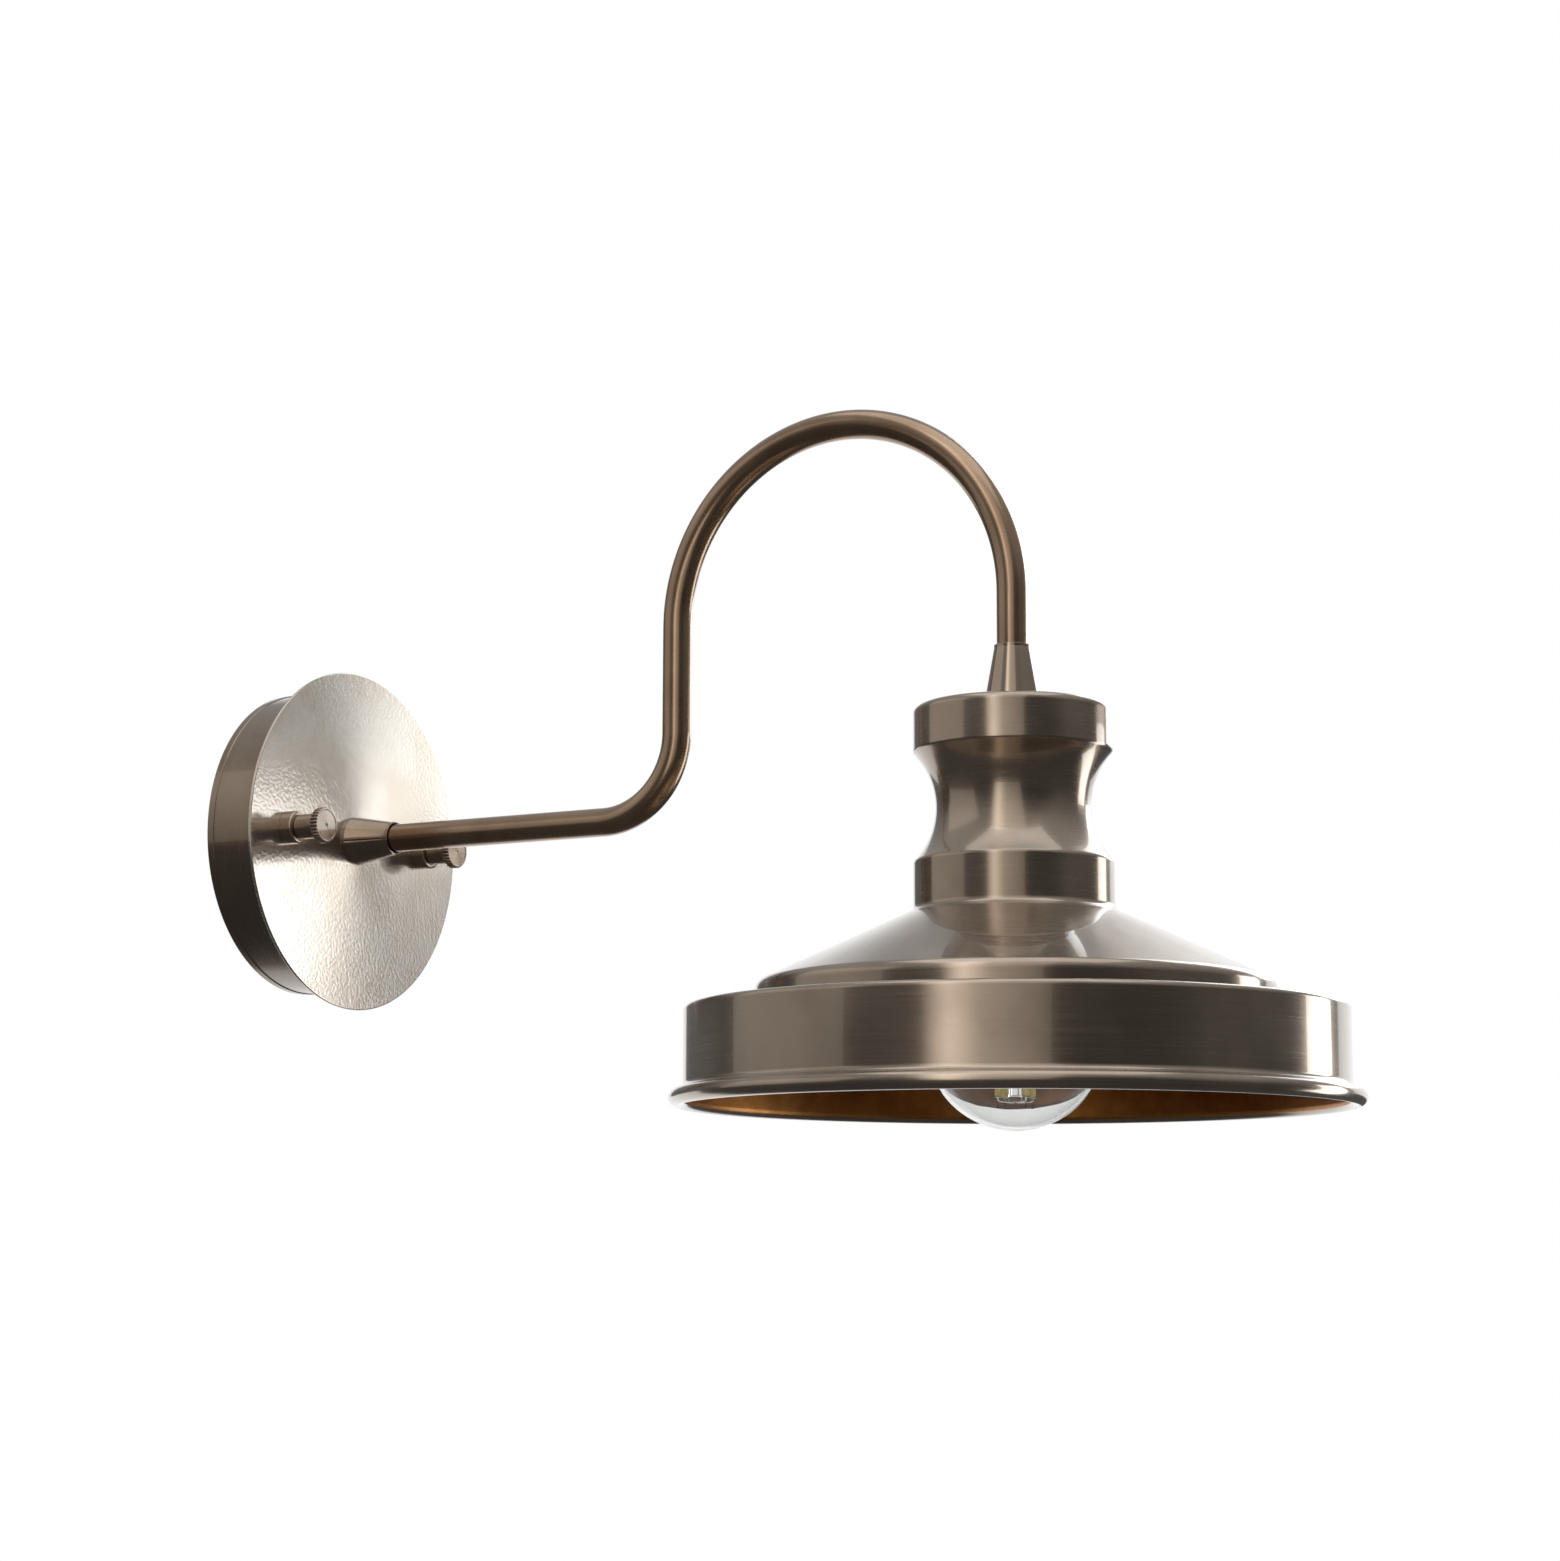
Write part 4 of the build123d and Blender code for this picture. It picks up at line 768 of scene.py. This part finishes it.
# %% Knurled heads, shanks and bushes
STUD_RADIUS, RUNNING_GAP = mm(2.0, 0.05)
BUSH_RADIUS, BUSH_LENGTH, BUSH_EDGE = mm(6.0, 5.3, 0.8)
SHANK_RADIUS, SHANK_LENGTH = mm(4.5, 8.9)
HEAD_RADIUS, HEAD_LENGTH, HEAD_CHAMFER = mm(6.5, 3.0, 0.35)
KNURL_COUNT = 30
KNURL_DEPTH, FACE_RIM, FACE_DISH = mm(0.5, 0.9, 0.2)
STUD_GRIP, BORE_RUNOUT = mm(7.4, 0.6)
DIMPLE_RADIUS, DIMPLE_DEPTH = mm(0.8, 0.5)
NUT_ROUNDS = {3: 0.5 * MM, 4: 0.25 * MM, 9: 0.08 * MM, 11: 0.15 * MM}
NUT_BORE = STUD_RADIUS + RUNNING_GAP
BUSH_TOP = DISC_FACE + BUSH_LENGTH


def knurl(turn, radius, height):
    """Dip the head's edge in rounded grooves and leave the rest of the nut alone."""
    if radius < HEAD_RADIUS - HEAD_CHAMFER - RUNNING_GAP:
        return radius
    groove = (0.5 + 0.5 * cos(KNURL_COUNT * turn)) ** 2
    edge = min(1.0, (radius - HEAD_RADIUS + 2 * HEAD_CHAMFER) / (2 * HEAD_CHAMFER))
    return radius - KNURL_DEPTH * groove * edge


def thumb_nut(name):
    """A nut from its bore to its dimpled face."""
    head = BUSH_TOP + SHANK_LENGTH
    face = head + HEAD_LENGTH
    dish = face - FACE_DISH
    bore_end = BUSH_TOP + STUD_GRIP + BORE_RUNOUT
    outline = rounded([
        (0, bore_end), (NUT_BORE, bore_end), (NUT_BORE, BUSH_TOP), (SHANK_RADIUS, BUSH_TOP),
        (SHANK_RADIUS, head),
        (HEAD_RADIUS - HEAD_CHAMFER, head), (HEAD_RADIUS, head + HEAD_CHAMFER),
        (HEAD_RADIUS, face - HEAD_CHAMFER), (HEAD_RADIUS - HEAD_CHAMFER, face),
        (HEAD_RADIUS - FACE_RIM, face), (HEAD_RADIUS - FACE_RIM - FACE_DISH, dish),
        (DIMPLE_RADIUS, dish), (0, dish - DIMPLE_DEPTH)], NUT_ROUNDS)
    return lathe(name, outline, around=12 * KNURL_COUNT, closed=False, warp=knurl)


for side, name in ((-1, "left"), (1, "right")):
    at_stud = Vector((side * NUT_SPACING / 2, 0, 0))
    bush = lathe(name + "_nut_bush_turned", rounded([
        (NUT_BORE, DISC_FACE), (BUSH_RADIUS, DISC_FACE), (BUSH_RADIUS, BUSH_TOP),
        (NUT_BORE, BUSH_TOP)], {1: EDGE_BREAK, 2: BUSH_EDGE}), around=AROUND_SMALL)
    fit(stand(bush, at_stud, "out"), name + "_nut_carrier", [nut_metal],
        [name + "_nut_bush"])
    nut = thumb_nut(name + "_thumb_nut_knurled")
    fit(stand(nut, at_stud, "out"), name + "_nut", [nut_metal],
        [name + "_thumb_nut"])

# %% [markdown]
# ## The arm
#
# The arm is one steel tube that is bent twice: up from its level leg, then over and down. `sweep`
# carries a ring along that line. Both ends are turned down a little and threaded. A thread is a
# ridge that climbs as it goes round: a warp that depends on the height and the turn at once.

# %% A screw thread as a warp
def thread_warp(depth, pitch, low, high, above):
    """Cut a rounded thread between two heights, on faces that lie above a radius."""
    def warp(turn, radius, height):
        if radius < above or not low < height < high:
            return radius
        fade = min(1.0, (height - low) / pitch, (high - height) / pitch)
        ridge = 0.5 - 0.5 * cos(2 * pi * height / pitch - turn)
        return radius - depth * fade * ridge
    return warp


def steps_between(radius, low, high, step):
    """Points up a wall, close enough together to carry a thread."""
    count = max(2, ceil(abs(high - low) / step))
    return [(radius, low + (high - low) * index / count) for index in range(count + 1)]


# %% The bent tube and its threaded ends
TUBE_RADIUS, TUBE_BORE = mm(5.15, 4.15)
THREAD_RADIUS, THREAD_PITCH, THREAD_DEPTH = mm(5.0, 1.0, 0.3)
THREAD_STEPS = 8
FIRST_LEG, LOWER_BEND = mm(164.0, 30.0)
ARCH_RADIUS, ARCH_CENTRE = mm(65.5, 68.0)
WALL_THREAD = mm(15.1, 31.0)
SHADE_THREAD = mm(13.1, 34.4)
BEND_STEP = radians(2)

bend_start = FIRST_LEG - LOWER_BEND
lower_bend = [(0, -out, up) for out, up in arc(
    (bend_start, LOWER_BEND), LOWER_BEND, -pi / 2, 0, BEND_STEP)]
arch = [(0, -out, up) for out, up in arc(
    (FIRST_LEG + ARCH_RADIUS, ARCH_CENTRE), ARCH_RADIUS, pi, 0, BEND_STEP)]
arm_line = bent_line([(0, -WALL_THREAD[1], 0)], lower_bend, arch, [(0, -REACH, SHADE_THREAD[1])])
tube = sweep("gooseneck_tube_bent", arm_line, TUBE_RADIUS, AROUND_ROD, bore=TUBE_BORE)


def threaded_end(name, low, high, place, facing):
    """The turned-down end of the tube with its fine thread."""
    wall = steps_between(THREAD_RADIUS, low, high, THREAD_PITCH / THREAD_STEPS)
    outline = [(TUBE_BORE, low), *wall, (TUBE_BORE, high)]
    thread = thread_warp(THREAD_DEPTH, THREAD_PITCH, low, high, TUBE_BORE + RUNNING_GAP)
    return stand(lathe(name, outline, around=AROUND_ROD, warp=thread), place, facing)


tube_ends = [threaded_end("wall_end", *WALL_THREAD, ON_WALL_AXIS, "out"),
             threaded_end("shade_end", *SHADE_THREAD, ON_SHADE_AXIS, "up")]
fit(join_pieces([tube] + tube_ends), "root", [bronze_tube], ["gooseneck_tube"])

# %% [markdown]
# ## The two cones
#
# A small turned cone hides the thread at each end of the arm. Its mouth is a little wider than
# the tube, which leaves a thin dark ring.

# %% Turn the cones
CONE_TIP, CONE_MOUTH, CONE_TIP_LENGTH, CONE_EDGE, CONE_THREAD = mm(6.1, 5.6, 1.0, 0.8, 5.9)
CONE_ROUNDS = {1: EDGE_BREAK, 2: 0.4 * MM, 3: 0.3 * MM, 4: 0.15 * MM}
WALL_CONE = mm(9.0, 18.0)
SHADE_CONE = mm(9.6, 21.0)
SHADE_TOP = 28.4 * MM


def cone(name, foot, large, length):
    """A hollow cone that stands on its large end."""
    thread, tip = THREAD_RADIUS + RUNNING_GAP, foot + length
    return lathe(name, rounded([
        (thread, foot), (large, foot), (large, foot + CONE_EDGE),
        (CONE_TIP, tip - CONE_TIP_LENGTH), (CONE_TIP, tip), (CONE_MOUTH, tip),
        (CONE_MOUTH, foot + CONE_THREAD), (thread, foot + CONE_THREAD),
    ], CONE_ROUNDS), around=AROUND_MIDDLE)


wall_cone = stand(cone("wall_cone_turned", DISC_FACE, *WALL_CONE), ON_WALL_AXIS, "out")
fit(wall_cone, "root", [bronze], ["wall_cone"])
shade_cone = stand(cone("shade_cone_turned", SHADE_TOP, *SHADE_CONE), ON_SHADE_AXIS)
fit(shade_cone, "root", [bronze], ["shade_cone"])

# %% [markdown]
# ## The shade
#
# The shade is one sheet, spun over a wooden form: a cap, a hollowed waist, a collar, a cone, a
# small step, an upright band and a rim that is rolled outward. The waist is one arc. Where it
# meets the straight walls, a small rounding touches both, and its centre is found from the two
# distances that it must keep. The inside is the same outline moved by the sheet's thickness. It
# is copper as far as the inner side of the rolled rim: the faces are numbered ring by ring along
# the outline, so a face's number tells its finish.

# %% Draw the outside of the shade, from its top down
SHEET, CAP_RADIUS, CAP_ROUND = mm(1.0, 33.4, 2.6)
WAIST_TOP, WAIST_FOOT, WAIST_RADIUS = mm(15.4, 52.4, 25.9)
CAP_FOOT_ROUND, COLLAR_TOP_ROUND, COLLAR_FOOT, COLLAR_FOOT_ROUND = mm(1.5, 2.0, 68.6, 2.5)
CONE_SLOPE = tan(radians(24.8))
STEP_RADIUS, STEP_ROUND, STEP_FILLET = mm(86.0, 3.8, 1.2)
BAND_RADIUS, BAND_TOP, BAND_ROUND = mm(109.5, 100.7, 1.8)
RIM_DEPTH, BEAD_RADIUS, RIM_FILLET = mm(130.8, 2.9, 2.0)

half_opening = (WAIST_FOOT - WAIST_TOP) / 2
hollow_depth = CAP_RADIUS - WAIST_RADIUS
hollow_radius = (half_opening ** 2 + hollow_depth ** 2) / (2 * hollow_depth)
hollow_centre = (WAIST_RADIUS + hollow_radius, -(WAIST_TOP + WAIST_FOOT) / 2)


def waist_corner(radius, side):
    """The rounding between a wall and the waist's arc; side is +1 above, -1 below."""
    across = CAP_RADIUS - radius
    rise = sqrt((hollow_radius + radius) ** 2 - (hollow_centre[0] - across) ** 2)
    centre = (across, hollow_centre[1] + side * rise)
    toward = atan2(hollow_centre[1] - centre[1], hollow_centre[0] - centre[0])
    hold = (CAP_RADIUS, centre[1] + side * HOLDING_GAP)
    return [hold] + arc(centre, radius, 0, toward), pi + toward


cap_foot, hollow_start = waist_corner(CAP_FOOT_ROUND, 1)
collar_top, hollow_end = waist_corner(COLLAR_TOP_ROUND, -1)
hollow = arc(hollow_centre, hollow_radius, hollow_start, hollow_end, CURVE_STEP)[1:-1]
step_top = -COLLAR_FOOT - (STEP_RADIUS - CAP_RADIUS) * CONE_SLOPE
top_edge = rounded([(ARM_HOLE, 0), (CAP_RADIUS, 0), (CAP_RADIUS, -WAIST_TOP)], {1: CAP_ROUND})[:-1]
lower_walls = rounded([
    (CAP_RADIUS, -WAIST_FOOT), (CAP_RADIUS, -COLLAR_FOOT), (STEP_RADIUS, step_top),
    (STEP_RADIUS, -BAND_TOP), (BAND_RADIUS, -BAND_TOP), (BAND_RADIUS, -RIM_DEPTH),
], {1: COLLAR_FOOT_ROUND, 2: STEP_ROUND, 3: STEP_FILLET, 4: BAND_ROUND})[1:-1]
outside = top_edge + cap_foot + hollow + collar_top[::-1] + lower_walls
print("the shade's outside is drawn with", len(outside), "points")

# %% Roll the rim, add the inside and turn the whole
SHADE_AROUND = 288
COPPER_EDGE = radians(-150)
BEAD_STEP = radians(8)

bead_centre = (BAND_RADIUS - SHEET + BEAD_RADIUS, -RIM_DEPTH)
fillet_across = BAND_RADIUS + RIM_FILLET
fillet_rise = sqrt((BEAD_RADIUS + RIM_FILLET) ** 2 - (bead_centre[0] - fillet_across) ** 2)
fillet_centre = (fillet_across, -RIM_DEPTH + fillet_rise)
fillet_turn = atan2(bead_centre[1] - fillet_centre[1], bead_centre[0] - fillet_centre[0])
rim_fillet = [(BAND_RADIUS, fillet_centre[1] + HOLDING_GAP)]
rim_fillet += arc(fillet_centre, RIM_FILLET, pi, 2 * pi + fillet_turn)
bead = arc(bead_centre, BEAD_RADIUS, pi + fillet_turn, COPPER_EDGE, BEAD_STEP)[1:]
lip = arc(bead_centre, BEAD_RADIUS, COPPER_EDGE, -pi)[1:]
lip += [(BAND_RADIUS - SHEET, -RIM_DEPTH + HOLDING_GAP)]
nickel_side = outside + rim_fillet + bead
shade = lathe("shade_spun", nickel_side + lip + inset(outside, -SHEET)[::-1], around=SHADE_AROUND)
stand(shade, ON_SHADE_AXIS + Vector((0, 0, SHADE_TOP)))
fit(shade, "root", [nickel, copper], ["shade"])
for face in shade.data.polygons:
    face.material_index = int(face.index // SHADE_AROUND >= len(nickel_side) - 1)

# %% [markdown]
# ## The lampholder
#
# A screw lampholder hangs on the end of the arm inside the shade. Its domed cap screws on the
# arm's thread, and a sleeve screws into the cap and holds a ceramic cup with the brass shell. The
# cap and the sleeve are turned again with finer edges. The rest keeps its drawn shape.

# %% Turn the cap and the sleeve
HOLDER_RADIUS, HOLDER_BORE, HOLDER_TOP, HOLDER_FOOT = mm(20.0, 18.7, 22.6, -9.0)
HOLDER_WALL, BOSS_RADIUS, BOSS_LENGTH = mm(1.3, 8.0, 6.5)
DOME_RISE, DOME_FLOOR = mm(9.0, 2.0)
DOME_ROUNDS = {1: 0.4 * MM, 2: 1.5 * MM, 3: 4.0 * MM, 4: 0.4 * MM, 6: 3.0 * MM}
SLEEVE_RADIUS, SLEEVE_BORE, SLEEVE_TOP, SLEEVE_THREAD = mm(18.0, 16.8, -1.0, 0.7)
SLEEVE_FOOT, SLEEVE_CHAMFER = mm(-29.15, 0.8)
SHELL_OUTSIDE, CERAMIC_FOOT = mm(13.9, -27.95)
RING_PITCH, RING_DEPTH, RING_MARGIN, RING_STEP = mm(2.4, 0.35, 3.0, 0.2)

dome_top = HOLDER_TOP - BOSS_LENGTH
dome_foot = dome_top - DOME_RISE
thread = THREAD_RADIUS + RUNNING_GAP
holder_cap = lathe("holder_cap_turned", rounded([
    (thread, HOLDER_TOP), (BOSS_RADIUS, HOLDER_TOP), (BOSS_RADIUS, dome_top),
    (HOLDER_RADIUS, dome_foot), (HOLDER_RADIUS, HOLDER_FOOT), (HOLDER_BORE, HOLDER_FOOT),
    (HOLDER_BORE, dome_foot - HOLDER_WALL), (BOSS_RADIUS, dome_top - DOME_FLOOR),
    (thread, dome_top - DOME_FLOOR)], DOME_ROUNDS), around=AROUND_MIDDLE)
fit(stand(holder_cap, ON_SHADE_AXIS), "root", [enamel], ["holder_cap"])


def grip_ring(turn, radius, height):
    """Shallow rings round the sleeve, where fingers hold it."""
    low, high = SLEEVE_FOOT + RING_MARGIN, HOLDER_FOOT - RING_MARGIN
    if radius < SLEEVE_RADIUS - RUNNING_GAP or not low < height < high:
        return radius
    ridge = 0.5 - 0.5 * cos(2 * pi * (height - low) / RING_PITCH)
    return radius - RING_DEPTH * ridge ** 3


sleeve_wall = steps_between(SLEEVE_RADIUS, SLEEVE_FOOT + SLEEVE_CHAMFER,
                            HOLDER_FOOT - SLEEVE_THREAD, RING_STEP)
sleeve = lathe("holder_sleeve_turned", [
    (SHELL_OUTSIDE, SLEEVE_FOOT), (SLEEVE_RADIUS - SLEEVE_CHAMFER, SLEEVE_FOOT), *sleeve_wall,
    (HOLDER_BORE - RUNNING_GAP, HOLDER_FOOT), (HOLDER_BORE - RUNNING_GAP, SLEEVE_TOP),
    (SLEEVE_BORE, SLEEVE_TOP), (SLEEVE_BORE, CERAMIC_FOOT), (SHELL_OUTSIDE, CERAMIC_FOOT),
], around=AROUND_MIDDLE, warp=grip_ring)
fit(stand(sleeve, ON_SHADE_AXIS), "root", [enamel], ["holder_sleeve"])
paint(glaze, "holder_ceramic")
paint(brass, "holder_shell", "holder_contact", "holder_terminals")
paint(zinc, "holder_terminal_screws", "holder_grub_screw")

# %% [markdown]
# ## The lamp
#
# Glass shows its thickness, so the globe is a closed shell with an outside and an inside. The cap
# is thin sheet, rolled into a round thread that climbs 3.63 mm in each turn. Heights are measured
# up from the globe's foot.

# %% Blow the globe and roll the cap
LAMP_FOOT, GLOBE = mm(-112.7, 30.0)
GLOBE_AROUND = 160
GLASS_WALL, NECK_RADIUS, NECK_BLEND = mm(1.1, 13.6, 35.0)
CAP_START, NECK_END, NECK_END_RADIUS = mm(77.0, 80.4, 12.8)
SKIRT_RADIUS, CREST_RADIUS = mm(13.3, 13.15)
LAMP_PITCH, LAMP_THREAD_DEPTH = mm(3.63, 0.75)
LAMP_THREAD_STEPS = 14
CAP_SHEET, CAP_TOP, CAP_SHOULDER = mm(0.4, 100.95, 9.0)
SHOULDER_RISE = 2.4 * MM
ON_LAMP_AXIS = ON_SHADE_AXIS + Vector((0, 0, LAMP_FOOT))

blend_across = NECK_RADIUS + NECK_BLEND
blend_rise = sqrt((GLOBE + NECK_BLEND) ** 2 - blend_across ** 2)
touch = atan2(blend_rise, blend_across)


def globe_outline(depth):
    """The globe and its neck, from the foot up, at a depth in the glass."""
    ball = arc((0, GLOBE), GLOBE - depth, -pi / 2, touch, CURVE_STEP)
    bend = arc((blend_across, GLOBE + blend_rise), NECK_BLEND + depth, pi + touch, pi,
               CURVE_STEP)
    neck = [(NECK_END_RADIUS - depth, CAP_START), (NECK_END_RADIUS - depth, NECK_END)]
    return [(0, depth)] + ball[1:] + bend[1:] + neck


globe = lathe("lamp_glass_blown", globe_outline(0) + globe_outline(GLASS_WALL)[::-1],
              around=GLOBE_AROUND, closed=False)
fit(stand(globe, ON_LAMP_AXIS), "lamp", [glass], ["lamp_glass"])

thread_top = CAP_TOP - SHOULDER_RISE
cap_wall = steps_between(CREST_RADIUS, NECK_END + CAP_SHEET, thread_top,
                         LAMP_PITCH / LAMP_THREAD_STEPS)
cap_outside = [(SKIRT_RADIUS, CAP_START), (SKIRT_RADIUS, NECK_END), *cap_wall,
               (CAP_SHOULDER, CAP_TOP)]
cap_inside = [(radius - CAP_SHEET, height) for radius, height in reversed(cap_outside)]
lamp_thread = thread_warp(LAMP_THREAD_DEPTH, LAMP_PITCH, NECK_END, thread_top,
                          CAP_SHOULDER + CAP_SHEET)
lamp_cap = lathe("lamp_cap_rolled", cap_outside + cap_inside, around=AROUND_SMALL,
                 warp=lamp_thread)
fit(stand(lamp_cap, ON_LAMP_AXIS), "lamp", [cap_metal], ["lamp_cap"])
paint(button, "lamp_insulator")
paint(lead, "lamp_tip")
paint(board, "lamp_driver")

# %% [markdown]
# A glass stem carries four yellow light-emitting sticks on fine wires. Each stick gets a metal
# clip at both ends, and the wires bend out of the stem's glass pinch.

# %% Stem, light-emitting sticks and wires
STEM_RADIUS, STEM_END = mm(2.2, 9.5)
FLARE_START, STEM_RIM, STEM_BORE, STEM_GAP, STEM_TAPER = mm(66.0, 1.0, 1.3, 0.1, 1.0)
STEM_ROUNDS = {1: 0.8 * MM, 2: 0.3 * MM, 4: 20.0 * MM, 10: 0.3 * MM}
PINCH_RADIUS, PINCH_TOP = mm(2.4, 11.2)
STICK_COUNT = 4
STICK_TURN = radians(56)
STICK_RADIUS = 1.1 * MM
STICK_FOOT = mm(6.6, 10.8)
STICK_TOP = mm(5.6, 50.0)
CLIP_LENGTH = 0.5 * MM
CLIP_RADIUS = STICK_RADIUS + 0.08 * MM
WIRE_RADIUS, WIRE_DROP = mm(0.3, 1.2)
TAIL_LENGTH, BEAD_LENGTH = mm(2.6, 0.9)
AROUND_STICK, AROUND_WIRE, AROUND_TAIL = 20, 12, 10

flare = NECK_END_RADIUS - GLASS_WALL - STEM_GAP
stem = lathe("lamp_stem_drawn", rounded([
    (0, STEM_END), (PINCH_RADIUS, STEM_END), (PINCH_RADIUS, PINCH_TOP),
    (STEM_RADIUS, PINCH_TOP + STEM_TAPER), (STEM_RADIUS, FLARE_START),
    (flare, NECK_END - STEM_RIM), (flare, NECK_END), (0, NECK_END), (0, NECK_END - STEM_RIM),
    (STEM_BORE, FLARE_START), (STEM_BORE, PINCH_TOP), (0, PINCH_TOP),
], STEM_ROUNDS), around=AROUND_ROD, closed=False)
fit(stand(stem, ON_LAMP_AXIS), "lamp", [glass], ["lamp_stem"])


def beside_stem(turn, radius, height):
    """A point of the lamp, given by its turn round the stem."""
    return ON_LAMP_AXIS + Vector((radius * cos(turn), radius * sin(turn), height))


sticks, wires, tails = [], [], []
for index in range(STICK_COUNT):
    turn = STICK_TURN + 2 * pi * index / STICK_COUNT
    foot, top = beside_stem(turn, *STICK_FOOT), beside_stem(turn, *STICK_TOP)
    rise = (top - foot).normalized()
    sticks.append(sweep("stick", [foot, foot + rise * WIRE_RADIUS, top - rise * WIRE_RADIUS, top],
                        STICK_RADIUS, AROUND_STICK))
    for end, (reach, height), way in ((foot, STICK_FOOT, -1), (top, STICK_TOP, 1)):
        clip = sweep("clip", [end, end + rise * way * -CLIP_LENGTH], CLIP_RADIUS, AROUND_STICK)
        elbow = beside_stem(turn, reach, height + way * 0.7 * WIRE_DROP)
        corner = beside_stem(turn, reach - 0.3 * WIRE_DROP, height + way * WIRE_DROP)
        pinch = beside_stem(turn, 0.5 * STEM_RADIUS, height + way * 1.25 * WIRE_DROP)
        wires += [clip, sweep("wire", [end, elbow, corner, pinch], WIRE_RADIUS, AROUND_WIRE)]
    tail = foot - Vector((0, 0, TAIL_LENGTH))
    tip = tail - Vector((0, 0, BEAD_LENGTH))
    tails += [sweep("tail", [foot, tail], 0.6 * WIRE_RADIUS, AROUND_TAIL),
              sweep("bead", [tail, tip], 1.6 * WIRE_RADIUS, AROUND_WIRE)]
fit(join_pieces(sticks), "lamp", [phosphor], ["lamp_filaments"]).name = "lamp_sticks"
fit(join_pieces(wires), "lamp", [cap_metal], ["lamp_supports"]).name = "lamp_wires"
fit(join_pieces(tails), "lamp", [dark_wire]).name = "lamp_wire_tails"

# %% [markdown]
# ## Behind the plate
#
# Seen from the wall, the plate shows a slotted strap, two studs with their nuts, the nut and the
# star washer on the arm, a three-pole connector and the wires. Their drawn shapes are right, so
# they only get their finishes.

# %% Finish what is behind the plate
paint(zinc, "wall_bracket", "bracket_studs", "stud_nuts", "arm_washer", "arm_nut", "shade_washer",
      "shade_nut", "terminal_screws", "earth_screw", "earth_tag")
paint(plastic, "terminal_block")
paint(brown, "live_wire")
paint(blue, "neutral_wire")
paint(green, "earth_wire")

# %% [markdown]
# ## A box's corners
#
# A small helper turns a box's corners into plain lists of numbers.

# %% A helper for a box's corners
def corners(box):
    return [[float(number) for number in corner] for corner in box]
